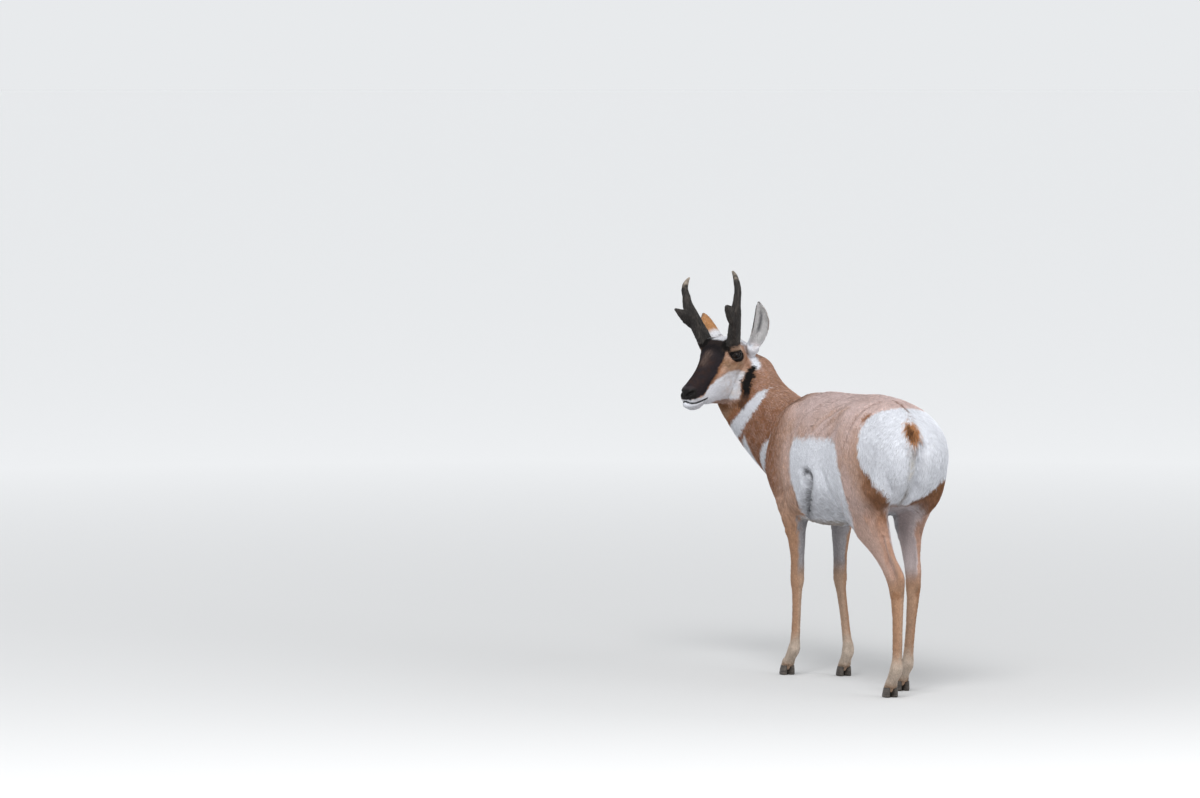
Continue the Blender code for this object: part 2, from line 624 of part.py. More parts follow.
def largest_body(obj):
    """Leaves only the biggest closed surface of the object's mesh."""
    bm = bmesh.new()
    bm.from_mesh(obj.data)
    left = set(bm.faces)
    bodies = []
    while left:
        queue = [left.pop()]
        body = list(queue)
        while queue:
            face = queue.pop()
            for edge in face.edges:
                for other in edge.link_faces:
                    if other in left:
                        left.remove(other)
                        queue.append(other)
                        body.append(other)
        bodies.append(body)
    bodies.sort(key=lambda body: sum(face.calc_area() for face in body), reverse=True)
    loose = [face for body in bodies[1:] for face in body]
    bmesh.ops.delete(bm, geom=loose, context="FACES")
    bm.to_mesh(obj.data)
    bm.free()


def carved(obj, tool, operation, name, keep=False):
    """The object after a Boolean with a closed tool; the tool stays for further use."""
    cut = obj.modifiers.new("cut", "BOOLEAN")
    cut.operation = operation
    cut.solver = "EXACT"
    cut.object = tool
    made = evaluated_copy(obj, name, keep)
    if keep:
        obj.modifiers.clear()
    largest_body(made)
    return made


def parted(obj, region, wider, inside_name, outside_name):
    """The object as two pieces, inside a region and outside a slightly wider one, a thin gap apart."""
    inside = carved(obj, region, "INTERSECT", inside_name, keep=True)
    outside = carved(obj, wider, "DIFFERENCE", outside_name)
    bpy.data.objects.remove(region)
    bpy.data.objects.remove(wider)
    return inside, outside


def swollen_copy(obj, name, distance):
    """The object with its skin moved out, as a tool that leaves a gap round the object itself."""
    grown = bpy.data.objects.new(name, obj.data.copy())
    bpy.context.scene.collection.objects.link(grown)
    normals = [vertex.normal.copy() for vertex in grown.data.vertices]
    for vertex, normal in zip(grown.data.vertices, normals):
        vertex.co += normal * distance
    return grown


def cut_clear(obj, neighbour):
    """Takes away what the object has inside its neighbour, and a thin gap round that."""
    tool = swollen_copy(neighbour, "tool", CUT_GAP)
    made = carved(obj, tool, "DIFFERENCE", obj.name)
    bpy.data.objects.remove(tool)
    return made


def united(name, pieces):
    """Overlapping closed pieces as one solid."""
    base, *rest = pieces
    others = bpy.data.collections.new("others")
    for piece in rest:
        others.objects.link(piece)
    union = base.modifiers.new("union", "BOOLEAN")
    union.operation = "UNION"
    union.solver = "EXACT"
    union.operand_type = "COLLECTION"
    union.collection = others
    made = evaluated_copy(base, name)
    largest_body(made)
    for piece in rest:
        bpy.data.objects.remove(piece)
    bpy.data.collections.remove(others)
    return made


def spread_rows(rows, spread):
    """The rows with their distance from the middle plane scaled, and mirrored where that is negative."""
    return [(row[0], spread * row[1], *row[2:]) for row in rows]


def horn(side, placed):
    """A flattened, forward-leaning horn with its one prong; the root is sunk in the skull."""
    tip, prong = (LEFT_TIP, LEFT_PRONG) if side == "left" else (RIGHT_TIP, RIGHT_PRONG)
    across = Vector((0, -1, 0))
    spread = 1 if side == "left" else -RIGHT_HORN_SPREAD
    beam = limb("beam", spread_rows(HORN_BEAM + tip, spread), lambda t: across, HORN_SIDES, 2, 2.2)
    blade = limb("blade", spread_rows(prong, spread), lambda t: across, 10, 2, 2.0)
    made = united(side + "_horn", [beam, blade])
    made.data.transform(placed)
    return made


def along_table(t, table):
    """The value at t of a table of places and values."""
    return np.interp(t, *zip(*table))


def ear(side, placed):
    """A thin cupped ear on a round root."""
    hand = 1 if side == "left" else -1
    root, tip, opening, bow = EARS[side]
    up = (tip - root).normalized()
    opening = (opening - up * opening.dot(up)).normalized()
    outward = up.cross(opening)
    if outward.y * hand < 0:
        outward = -outward
    bm = bmesh.new()
    rows = []
    for i in range(EAR_STEPS + 1):
        t = i / EAR_STEPS
        wrap = along_table(t, EAR_WRAPS)
        radius = along_table(t, EAR_BREADTHS) / sin(min(wrap, pi / 2))
        centre = root.lerp(tip, t) + outward * (bow * sin(pi * t)) + opening * (radius * EAR_SEAT)
        row = []
        for j in range(EAR_SIDES + 1):
            angle = wrap * (2 * j / EAR_SIDES - 1)
            place = centre + outward * (radius * sin(angle)) - opening * (radius * cos(angle))
            row.append(bm.verts.new(place))
        rows.append(row)
    for low, high in zip(rows, rows[1:]):
        for j in range(EAR_SIDES):
            bm.faces.new((low[j], low[j + 1], high[j + 1], high[j]))
    bmesh.ops.triangulate(bm, faces=bm.faces)
    leaf = mesh_object("leaf", bm)
    shell = leaf.modifiers.new("shell", "SOLIDIFY")
    shell.thickness = EAR_THICKNESS
    shell.offset = 0
    leaf = evaluated_copy(leaf, "leaf")
    inner = Vector((EAR_INSIDE.x, hand * EAR_INSIDE.y, EAR_INSIDE.z))
    seat = root + opening * (EAR_SEAT * EAR_BREADTHS[0][1])
    places = (inner, inner.lerp(seat, EAR_ROOT_MIDDLE), seat - up * EAR_THICKNESS, seat + up * EAR_THICKNESS)
    rows = [(*place, girth, girth, girth) for place, girth in zip(places, EAR_ROOT_GIRTHS)]
    base = limb("base", rows, lambda t: outward, sides=12, steps=2)
    made = united(side + "_ear", [base, leaf])
    made.data.transform(placed)
    return made


def eye_centre(hand):
    return Vector((EYE_AT.x, hand * EYE_AT.y, EYE_AT.z))


def eyelids(head, hand, placed):
    """Cuts the lids' almond opening, then a socket faceted as the eye is: the lids stay as a thin shell."""
    centre = placed @ eye_centre(hand)
    turn = placed.to_3x3().to_4x4()
    radius = EYE_RADIUS + GAP
    socket = ball("socket", centre, (radius, radius, radius), turn)
    slant = turn @ Matrix.Rotation(-hand * EYE_AHEAD, 4, "Z") @ Matrix.Rotation(LID_SLANT, 4, "Y")
    look = Vector((sin(EYE_AHEAD), hand * cos(EYE_AHEAD), 0))
    outer = placed @ (eye_centre(hand) + look * (EYE_RADIUS + LID_STAND))
    opening = ball("opening", outer, LID_OPENING, slant, around=28, rings=16)
    for tool in (opening, socket):
        head = carved(head, tool, "DIFFERENCE", "head")
        bpy.data.objects.remove(tool)
    return head


def eye(side, placed):
    hand = 1 if side == "left" else -1
    turn = placed.to_3x3().to_4x4()
    radii = (EYE_RADIUS, EYE_RADIUS, EYE_RADIUS)
    return ball(side + "_eye", placed @ eye_centre(hand), radii, turn)


def tail_lock(root, run, swing, length):
    """A flat tapered lock that starts inside the core, bows out over it and turns in at its tip."""
    back = Vector((0, 1, 0))
    across = Vector((1, 0, 0))
    way = (run + across * swing).normalized()
    places = (
        root - way * LOCK_SUNK,
        root + way * (0.30 * length) + back * LOCK_RISE,
        root + way * (0.70 * length) + back * LOCK_RISE,
        root + way * length - back * LOCK_RISE,
    )
    rows = [(*place, width, depth, depth) for place, (width, depth) in zip(places, LOCK_GIRTHS)]
    return limb("lock", rows, lambda t: across, sides=6, steps=1, power=2.0)


def tail():
    """A short core with tiers of locks, longest in the middle of each tier."""
    draw = np.random.default_rng(3)
    core = limb("core", TAIL_ROWS, lambda t: Vector((1, 0, 0)), TAIL_SIDES, TAIL_STEPS)
    centres = catmull_rom(TAIL_ROWS, 8)
    runs = tangents(centres[:, :3])
    pieces = [core]
    for tier in TAIL_TIERS:
        row = int(tier * (len(centres) - 1))
        run = Vector(runs[row]).normalized()
        for hand in (-1, 0, 1):
            root = Vector(centres[row, :3]) + Vector((hand * OUTER_LOCK_OUT * centres[row, 3], LOCK_RISE, 0))
            length = LOCK_LENGTH * (1 - OUTER_LOCK_SHORTER * abs(hand)) * draw.uniform(0.9, 1.1)
            pieces.append(tail_lock(root, run, hand * LOCK_SPREAD + draw.uniform(-0.08, 0.08), length))
    return united("tail", pieces)


def claw_ring(level, foot, hand, sides=16):
    """One level outline of a claw: straight along the slot, round outside and behind, pointed in front."""
    ring = []
    for i in range(sides):
        angle = tau * i / sides
        along = cos(angle) * (level.toe if cos(angle) > 0 else level.heel)
        taper = 1 - CLAW_TAPER * max(0, along / level.toe) ** 2
        out = CLAW_SLOT / 2 + level.width * taper * (0.5 + 0.5 * sin(angle)) ** CLAW_ROUNDNESS
        ring.append(Vector((foot.x + hand * out, foot.y - along, level.level)))
    return ring


def claw(name, foot, hand):
    return loft(name, [claw_ring(level, foot, hand) for level in CLAW_LEVELS])


def head_zone(name, placed, grow):
    """A box round the head whose one face parts it from the neck."""
    away = HEAD_CUT_FACING.normalized()
    forth = (Vector((1, 0, 0)) - away * away.x).normalized()
    turn = Matrix((away, forth, away.cross(forth))).transposed().to_4x4()
    middle = HEAD_CUT_AT + forth * HEAD_ZONE_AHEAD - away * (HEAD_ZONE.x / 2 - grow)
    made = box(name, middle, HEAD_ZONE, turn)
    made.data.transform(placed)
    return made


def leg_box(name, top):
    """A wide box under a level face, for the cuts across a leg."""
    return box(name, (0, 0, top - LEG_ZONE.z / 2), LEG_ZONE)


def body_pieces(body):
    """Parts the fused body into torso, neck and the two lengths of each leg."""
    lean = Matrix.Rotation(NECK_CUT_LEAN, 4, "X")
    middle = NECK_CUT_AT + lean @ Vector((0, -NECK_ZONE.y / 2, 0))
    ahead = [box(name, middle, NECK_ZONE, lean, grow) for name, grow in (("region", 0), ("wider", GAP))]
    neck_node, rest = parted(body, *ahead, "neck", "torso")
    pieces = [neck_node]
    for name, (joints, hand) in LEGS.items():
        cut = LEG_CUTS[name.split("_")[1]]
        whole, rest = parted(rest, wedge("region", cut, hand), wedge("wider", cut, hand, GAP), name, "torso")
        below = (leg_box("region", cut.shank), leg_box("wider", cut.shank + GAP))
        lower, upper = parted(whole, *below, name + "_lower", name + "_upper")
        foot = leg_box("foot", CORONET)
        lower = carved(lower, foot, "DIFFERENCE", lower.name)
        bpy.data.objects.remove(foot)
        pieces += [upper, lower]
    return pieces + [rest]


def paint(obj, name):
    look = MATERIALS[name]
    material = bpy.data.materials.get(name)
    if material is None:
        material = bpy.data.materials.new(name)
        material.use_nodes = True
        shader = material.node_tree.nodes["Principled BSDF"]
        shader.inputs["Base Color"].default_value = (*look.colour, 1)
        shader.inputs["Roughness"].default_value = look.roughness
        shader.inputs["Metallic"].default_value = 0
    obj.data.materials.clear()
    obj.data.materials.append(material)


def material_of(name):
    for ending, material in (("horn", "horn"), ("eye", "eye"), ("claw", "hoof")):
        if name.endswith(ending):
            return material
    return "white_coat" if name == "tail" else "tan_coat"


def centred(objects):
    """Moves the whole so that its box stands on the origin by the middle of its floor."""
    corners = [vertex.co for obj in objects for vertex in obj.data.vertices]
    lows = [min(c[k] for c in corners) for k in range(3)]
    highs = [max(c[k] for c in corners) for k in range(3)]
    shift = Vector((-(lows[0] + highs[0]) / 2, -(lows[1] + highs[1]) / 2, -lows[2]))
    print("moved by", [round(v, 5) for v in shift])
    for obj in objects:
        obj.data.transform(Matrix.Translation(shift))


def whole_flesh(placed):
    """The body and the head, each fused from its own cores and sculpted, before they are parted."""
    legs = [leg(name, joints, hand) for name, (joints, hand) in LEGS.items()]
    legs += [heel_cord(name + "_cord", *LEGS[name]) for name in ("left_hindleg", "right_hindleg")]
    cores = [skull(), neck()]
    cores[0].data.transform(placed)
    body = fused("body", [trunk()] + cores + legs, BODY_VOXEL, BODY_SMOOTHING)
    body = softened(body, lambda p: np.interp(p.z, *SOFT_RISE) * (p.z < SOFT_TO), SOFTENING)
    sculpt(body, BODY_STROKES, Matrix.Identity(4), (-1, 1, 1))
    body = thinned(body, BODY_TRIANGLES)
    lid_radius = EYE_RADIUS + LID_THICKNESS
    lids = [
        ball("lid", placed @ eye_centre(hand), (lid_radius, lid_radius, lid_radius), around=32, rings=20)
        for hand in (1, -1)
    ]
    head = fused("head", cores + lids, HEAD_VOXEL, HEAD_SMOOTHING)
    sculpt(head, HEAD_STROKES, placed, (1, -1, 1))
    for piece in list(bpy.data.objects):
        if piece not in (body, head):
            bpy.data.objects.remove(piece)
    return body, head


def placed_on(stand, obj):
    """Gives the object an origin in the middle of its own box, and hangs it on the stand."""
    corners = [Vector(corner) for corner in obj.bound_box]
    middle = (min(corners, key=sum) + max(corners, key=sum)) / 2
    obj.data.transform(Matrix.Translation(-middle))
    obj.location = middle
    obj.parent = stand


def main():
    clear_scene()
    placed = head_matrix()
    body, head = whole_flesh(placed)
    ahead, behind = head_zone("ahead", placed, GAP), head_zone("behind", placed, 0)
    body = carved(body, ahead, "DIFFERENCE", "body")
    head = thinned(carved(head, behind, "INTERSECT", "head"), HEAD_TRIANGLES)
    for zone in (ahead, behind):
        bpy.data.objects.remove(zone)
    for hand in (1, -1):
        head = eyelids(head, hand, placed)

    nodes = body_pieces(body)
    torso = nodes[-1]
    nodes.append(cut_clear(tail(), torso))
    for side in ("left", "right"):
        nodes.append(cut_clear(horn(side, placed), head))
        nodes.append(cut_clear(ear(side, placed), head))
        nodes.append(eye(side, placed))
    nodes.append(head)
    for name, (joints, hand) in LEGS.items():
        end = joints[-1]
        foot = Vector((hand * end.out, -end.ahead, 0))
        nodes.append(claw(name + "_outer_claw", foot, hand))
        nodes.append(claw(name + "_inner_claw", foot, -hand))
    centred(nodes)
    shelf = bpy.data.collections.new("pronghorn")
    bpy.context.scene.collection.children.link(shelf)
    stand = bpy.data.objects.new("stance", None)
    shelf.objects.link(stand)
    for node in nodes:
        bpy.context.scene.collection.objects.unlink(node)
        shelf.objects.link(node)
        placed_on(stand, node)
        node.data.shade_smooth()
        paint(node, material_of(node.name))


main()
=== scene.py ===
import time
from math import pi, radians, sin, cos, tau

import bmesh
import bpy
import numpy as np
from mathutils import Matrix, Vector
from mathutils.bvhtree import BVHTree


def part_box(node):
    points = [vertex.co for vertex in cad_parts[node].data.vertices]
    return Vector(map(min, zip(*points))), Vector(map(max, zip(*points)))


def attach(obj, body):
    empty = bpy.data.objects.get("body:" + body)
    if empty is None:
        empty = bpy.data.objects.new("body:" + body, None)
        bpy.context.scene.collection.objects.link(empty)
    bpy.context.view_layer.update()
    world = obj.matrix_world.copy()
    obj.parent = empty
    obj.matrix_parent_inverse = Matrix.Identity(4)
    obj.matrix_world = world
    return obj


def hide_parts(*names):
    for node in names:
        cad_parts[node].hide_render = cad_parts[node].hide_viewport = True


# A life-size pronghorn buck. It stands on four feet and looks back over its left shoulder.
# Metres, +Z up; the body faces -Y and its left side is +X.

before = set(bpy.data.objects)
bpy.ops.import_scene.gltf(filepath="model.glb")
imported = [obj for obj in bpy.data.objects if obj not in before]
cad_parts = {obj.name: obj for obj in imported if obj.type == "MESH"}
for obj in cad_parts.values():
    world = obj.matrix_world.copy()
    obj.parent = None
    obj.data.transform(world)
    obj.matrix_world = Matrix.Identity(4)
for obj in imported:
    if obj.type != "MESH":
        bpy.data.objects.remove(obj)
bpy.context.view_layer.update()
started = time.time()


def say(stage):
    print("pronghorn: " + stage + ", %.0f s" % (time.time() - started))


# ---- where things are ----

pose = {
    "headAt": (0.200, -0.545, 0.978),    # the head's own origin, before the model is centred
    "headTurn": 119,                     # degrees to the animal's left
    "headDrop": 9,                       # nose down
    "headRoll": -2.8,
    "eyeAt": (-0.014, 0.0470, 0.009),    # in the head's frame: x forward, y left, z up
    "eyeRadius": 0.0235,
    "eyeAhead": 20,                      # degrees that the eyes look forward
}


def headMatrixFrom(origin):
    turn = Matrix.Rotation(radians(pose["headTurn"] - 90), 4, "Z")
    drop = Matrix.Rotation(radians(pose["headDrop"]), 4, "Y")
    roll = Matrix.Rotation(radians(pose["headRoll"]), 4, "X")
    return Matrix.Translation(origin) @ turn @ drop @ roll


# The model in model.glb is centred, so the eye's box tells how far everything moved
eyeLow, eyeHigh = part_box("left_eye")
shift = (eyeLow + eyeHigh) / 2 - headMatrixFrom(Vector(pose["headAt"])) @ Vector(pose["eyeAt"])
headMatrix = headMatrixFrom(Vector(pose["headAt"]) + shift)
shiftArray = np.array(shift)
headToRow = np.array(headMatrix)
rowToHead = np.array(headMatrix.inverted())


def inHead(points):    # row frame to the head's frame
    return points @ rowToHead[:3, :3].T + rowToHead[:3, 3]


def fromHead(points):
    return np.asarray(points, float) @ headToRow[:3, :3].T + headToRow[:3, 3]


def inBody(points):    # row frame to the frame the body was drawn in
    return points - shiftArray


def fromBody(points):
    return np.asarray(points, float) + shiftArray


# ---- camera ----

view = {
    "place": (7.3918, 16.1749, 1.8961),
    "lookAzimuth": 22.1,     # degrees from -Y, looking back along the animal's left side
    "lookDown": 3.3,
    "lens": 174.4,
}


def makeCamera():
    data = bpy.data.cameras.new("camera")
    data.lens = view["lens"]
    data.sensor_width = 36
    data.clip_end = 1000
    made = bpy.data.objects.new("camera", data)
    made.location = Vector(view["place"]) + shift
    made.rotation_euler = (radians(90 - view["lookDown"]), 0, radians(180 - view["lookAzimuth"]))
    bpy.context.scene.collection.objects.link(made)
    bpy.context.scene.camera = made


makeCamera()


# ---- mesh helpers ----

def smoothstep(value, low, high):
    t = np.clip((value - low) / (high - low), 0, 1)
    return t * t * (3 - 2 * t)


def pointsOf(mesh):
    points = np.empty(len(mesh.vertices) * 3)
    mesh.vertices.foreach_get("co", points)
    return points.reshape(-1, 3)


def normalsOf(mesh):
    normals = np.empty(len(mesh.vertices) * 3)
    mesh.vertex_normals.foreach_get("vector", normals)
    return normals.reshape(-1, 3)


def setPoints(mesh, points):
    mesh.vertices.foreach_set("co", np.ascontiguousarray(points).ravel())
    mesh.update()


def addObject(name, mesh):
    made = bpy.data.objects.new(name, mesh)
    bpy.context.scene.collection.objects.link(made)
    return made


def solidOf(node, swell=0.0):    # a welded copy of a CAD node, moved out along its normals
    bm = bmesh.new()
    bm.from_mesh(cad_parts[node].data)
    bmesh.ops.remove_doubles(bm, verts=bm.verts, dist=0.00001)
    bm.normal_update()
    moves = [vertex.normal * swell for vertex in bm.verts]
    for vertex, move in zip(bm.verts, moves):
        vertex.co += move
    mesh = bpy.data.meshes.new(node)
    bm.to_mesh(mesh)
    bm.free()
    return mesh


def ballMesh(centre, radius):
    bm = bmesh.new()
    bmesh.ops.create_icosphere(bm, subdivisions=4, radius=radius)
    bmesh.ops.translate(bm, verts=bm.verts, vec=centre)
    mesh = bpy.data.meshes.new("ball")
    bm.to_mesh(mesh)
    bm.free()
    return mesh


def joinedObject(name, meshes):
    bm = bmesh.new()
    for mesh in meshes:
        bm.from_mesh(mesh)
        bpy.data.meshes.remove(mesh)
    whole = bpy.data.meshes.new(name)
    bm.to_mesh(whole)
    bm.free()
    return addObject(name, whole)


def applied(obj):    # the object's mesh after its modifiers, without the object
    graph = bpy.context.evaluated_depsgraph_get()
    mesh = bpy.data.meshes.new_from_object(obj.evaluated_get(graph))
    bpy.data.objects.remove(obj)
    return mesh


def remeshed(name, meshes, voxel):
    whole = joinedObject(name, meshes)
    fuse = whole.modifiers.new("fuse", "REMESH")
    fuse.mode = "VOXEL"
    fuse.voxel_size = voxel
    return applied(whole)


def edgesOf(mesh):
    edges = np.empty(len(mesh.edges) * 2, np.int32)
    mesh.edges.foreach_get("vertices", edges)
    return edges.reshape(-1, 2)


def evened(mesh, rounds, strength=None):    # smooths without shrinking; strength is 0 to 1 for each point
    edges = edgesOf(mesh)
    points = pointsOf(mesh)
    count = len(points)
    ends = np.concatenate([edges[:, 0], edges[:, 1]])
    others = np.concatenate([edges[:, 1], edges[:, 0]])
    share = np.maximum(np.bincount(ends, minlength=count), 1)
    weight = np.ones(count) if strength is None else strength
    for step in range(rounds * 2):
        factor = 0.5 if step % 2 == 0 else -0.53
        near = np.empty_like(points)
        for axis in range(3):
            near[:, axis] = np.bincount(ends, weights=points[others, axis], minlength=count) / share
        points += (factor * weight)[:, None] * (near - points)
    setPoints(mesh, points)


def catmullRom(rows, steps):
    rows = np.asarray(rows, float)
    ends = np.vstack([2 * rows[0] - rows[1], rows, 2 * rows[-1] - rows[-2]])
    made = []
    for before, start, end, after in zip(ends, ends[1:], ends[2:], ends[3:]):
        for t in np.arange(steps) / steps:
            made.append(
                0.5 * (2 * start + (end - before) * t
                       + (2 * before - 5 * start + 4 * end - after) * t**2
                       + (3 * start - before - 3 * end + after) * t**3))
    made.append(rows[-1])
    return np.array(made)


def tubeMesh(name, rows, across, sides, steps):    # closed limb through rows of x, y, z, half width, half depth
    rows = catmullRom(rows, steps)
    runs = np.gradient(rows[:, :3], axis=0)
    runs /= np.linalg.norm(runs, axis=1)[:, None]
    side = np.asarray(across, float) - runs * (runs @ np.asarray(across, float))[:, None]
    side /= np.linalg.norm(side, axis=1)[:, None]
    ahead = np.cross(runs, side)
    bm = bmesh.new()
    loops = []
    for row, out, forth in zip(rows, side, ahead):
        loop = []
        for i in range(sides):
            angle = tau * i / sides
            loop.append(bm.verts.new(row[:3] + out * row[3] * cos(angle) + forth * row[4] * sin(angle)))
        loops.append(loop)
    for low, high in zip(loops, loops[1:]):
        for i in range(sides):
            bm.faces.new((low[i], low[(i + 1) % sides], high[(i + 1) % sides], high[i]))
    bm.faces.new(loops[0])
    bm.faces.new(loops[-1])
    bmesh.ops.recalc_face_normals(bm, faces=bm.faces)
    mesh = bpy.data.meshes.new(name)
    bm.to_mesh(mesh)
    bm.free()
    return mesh


# ---- the skin's form ----

skinForm = {
    "bodyVoxel": 0.0045,
    "headVoxel": 0.0018,
    "skinVoxel": 0.0021,
    "bodyTriangles": 170000,
    "overlap": 0.0008,          # the nodes are swollen by this much, so that they fuse across their gaps
    "collarTop": 0.046,         # height in the head's frame that furred skin climbs up each horn
    "collarSwell": 0.0017,
    "headCutAt": (-0.108, 0.051, -0.118),
    "headCutFacing": (-0.55, 0.30, -0.78),
    "tailCore": [
        (0.004, 0.420, 0.812, 0.018, 0.010),
        (0.010, 0.466, 0.806, 0.018, 0.009),
        (0.014, 0.490, 0.783, 0.016, 0.008),
        (0.016, 0.500, 0.750, 0.012, 0.007),
        (0.017, 0.501, 0.724, 0.006, 0.004),
    ],
}
legNames = ("left_foreleg", "right_foreleg", "left_hindleg", "right_hindleg")
legNodes = [name + part for name in legNames for part in ("_upper", "_lower")]
fleshNodes = ["head", "neck", "torso", "tail", "left_ear", "right_ear"] + legNodes


def footPlugs():    # the skin runs a little way down into each hoof
    plugs = []
    for name in legNames:
        low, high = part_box(name + "_lower")
        outerLow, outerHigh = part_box(name + "_outer_claw")
        innerLow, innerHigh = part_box(name + "_inner_claw")
        middle = (outerLow + outerHigh + innerLow + innerHigh) / 4
        rows = [
            (middle.x, middle.y + 0.010, 0.050, 0.014, 0.014),
            (middle.x, middle.y + 0.006, 0.034, 0.0165, 0.016),
            (middle.x, middle.y + 0.003, 0.024, 0.0165, 0.016),
            (middle.x, middle.y + 0.001, 0.016, 0.012, 0.012),
        ]
        plugs.append(tubeMesh("plug", rows, (1, 0, 0), 16, 3))
    return plugs


def eyeCentre(hand):
    x, y, z = pose["eyeAt"]
    return headMatrix @ Vector((x, hand * y, z))


def neckSide(points):    # metres past the face between head and neck, towards the neck
    facing = np.array(skinForm["headCutFacing"])
    facing /= np.linalg.norm(facing)
    return (inHead(points) - np.array(skinForm["headCutAt"])) @ facing


def bodyForm():
    swell = skinForm["overlap"]
    meshes = [solidOf(node, swell) for node in ["head", "neck", "torso"] + legNodes]
    meshes += [ballMesh(eyeCentre(hand), pose["eyeRadius"]) for hand in (1, -1)]
    core = tubeMesh("core", skinForm["tailCore"], (1, 0, 0), 16, 4)
    core.transform(Matrix.Translation(shift))
    mesh = remeshed("bodyForm", meshes + [core] + footPlugs(), skinForm["bodyVoxel"])
    points = pointsOf(mesh)
    high = smoothstep(points[:, 2], 0.40, 0.56)
    evened(mesh, 6)
    evened(mesh, 34, high)
    points = pointsOf(mesh)
    normals = normalsOf(mesh)
    near = np.linalg.norm(inHead(points) - np.array((0.0, 0.0, -0.03)), axis=1) < 0.30
    under = smoothstep(-neckSide(points), 0.0, 0.022) * near    # goes in under the finer head
    setPoints(mesh, points - normals * (0.0045 * under)[:, None])
    return mesh


def hornCollar(node):    # the skin reaches up round the foot of each horn
    mesh = solidOf(node, skinForm["collarSwell"])
    bm = bmesh.new()
    bm.from_mesh(mesh)
    top = Vector(fromHead(np.array((0.0, 0.0, skinForm["collarTop"]))))
    facing = headMatrix.to_3x3() @ Vector((0.10, 0, 1)).normalized()
    whole = bm.verts[:] + bm.edges[:] + bm.faces[:]
    cut = bmesh.ops.bisect_plane(bm, geom=whole, plane_co=top, plane_no=facing, clear_outer=True)["geom_cut"]
    bmesh.ops.contextual_create(bm, geom=[edge for edge in cut if isinstance(edge, bmesh.types.BMEdge)])
    bm.to_mesh(mesh)
    bm.free()
    return mesh


def headForm():
    swell = skinForm["overlap"]
    meshes = [solidOf("head", swell), hornCollar("left_horn"), hornCollar("right_horn")]
    meshes += [solidOf(node, 0.0003) for node in ("left_ear", "right_ear")]
    meshes += [ballMesh(eyeCentre(hand), pose["eyeRadius"]) for hand in (1, -1)]
    mesh = remeshed("headForm", meshes, skinForm["headVoxel"])
    local = inHead(pointsOf(mesh))
    evened(mesh, 9)
    muzzle = smoothstep(local[:, 0], 0.10, 0.14)    # the lips and nostrils keep their edges
    evened(mesh, 26, 1 - muzzle)
    local[:, 1] = np.abs(local[:, 1])
    jaw = np.linalg.norm(local - np.array((-0.010, 0.050, -0.095)), axis=1)
    evened(mesh, 90, 1 - smoothstep(jaw, 0.025, 0.055))
    return mesh


def makeSkin():
    mesh = remeshed("skin", [bodyForm(), headForm()], skinForm["skinVoxel"])
    seam = np.exp(-(neckSide(pointsOf(mesh)) / 0.02) ** 2)
    evened(mesh, 4)
    evened(mesh, 16, seam)
    wither = np.linalg.norm(inBody(pointsOf(mesh)) - np.array((0.03, -0.275, 0.865)), axis=1)
    evened(mesh, 40, 1 - smoothstep(wither, 0.04, 0.08))
    skin = addObject("skin", mesh)
    say("skin fused, %d faces" % len(mesh.polygons))
    local = inHead(pointsOf(mesh))
    isHead = (local[:, 0] > -0.16) & (local[:, 2] > -0.17) & (np.abs(local[:, 1]) < 0.20)
    isHead &= neckSide(pointsOf(mesh)) < 0.01
    group = skin.vertex_groups.new(name="body")
    group.add(np.nonzero(~isHead)[0].tolist(), 1.0, "REPLACE")
    split = skin.modifiers.new("split", "TRIANGULATE")
    split.quad_method = "BEAUTY"
    headShare = isHead.mean() * 2 * len(mesh.polygons)
    thin = skin.modifiers.new("thin", "DECIMATE")
    thin.vertex_group = "body"
    thin.vertex_group_factor = 10
    thin.ratio = (headShare + skinForm["bodyTriangles"]) / (2 * len(mesh.polygons))
    made = applied(skin)
    say("skin thinned, %d faces" % len(made.polygons))
    return made


# ---- materials ----

class Value:    # a socket that can be reckoned with; each step adds a Math node
    def __init__(self, finish, socket):
        self.finish = finish
        self.socket = socket

    def reckon(self, operation, first, second):
        return self.finish.node("Math", {"operation": operation}, {0: first, 1: second})

    def __add__(self, other):
        return self.reckon("ADD", self, other)

    def __radd__(self, other):
        return self.reckon("ADD", other, self)

    def __sub__(self, other):
        return self.reckon("SUBTRACT", self, other)

    def __rsub__(self, other):
        return self.reckon("SUBTRACT", other, self)

    def __mul__(self, other):
        return self.reckon("MULTIPLY", self, other)

    def __rmul__(self, other):
        return self.reckon("MULTIPLY", other, self)


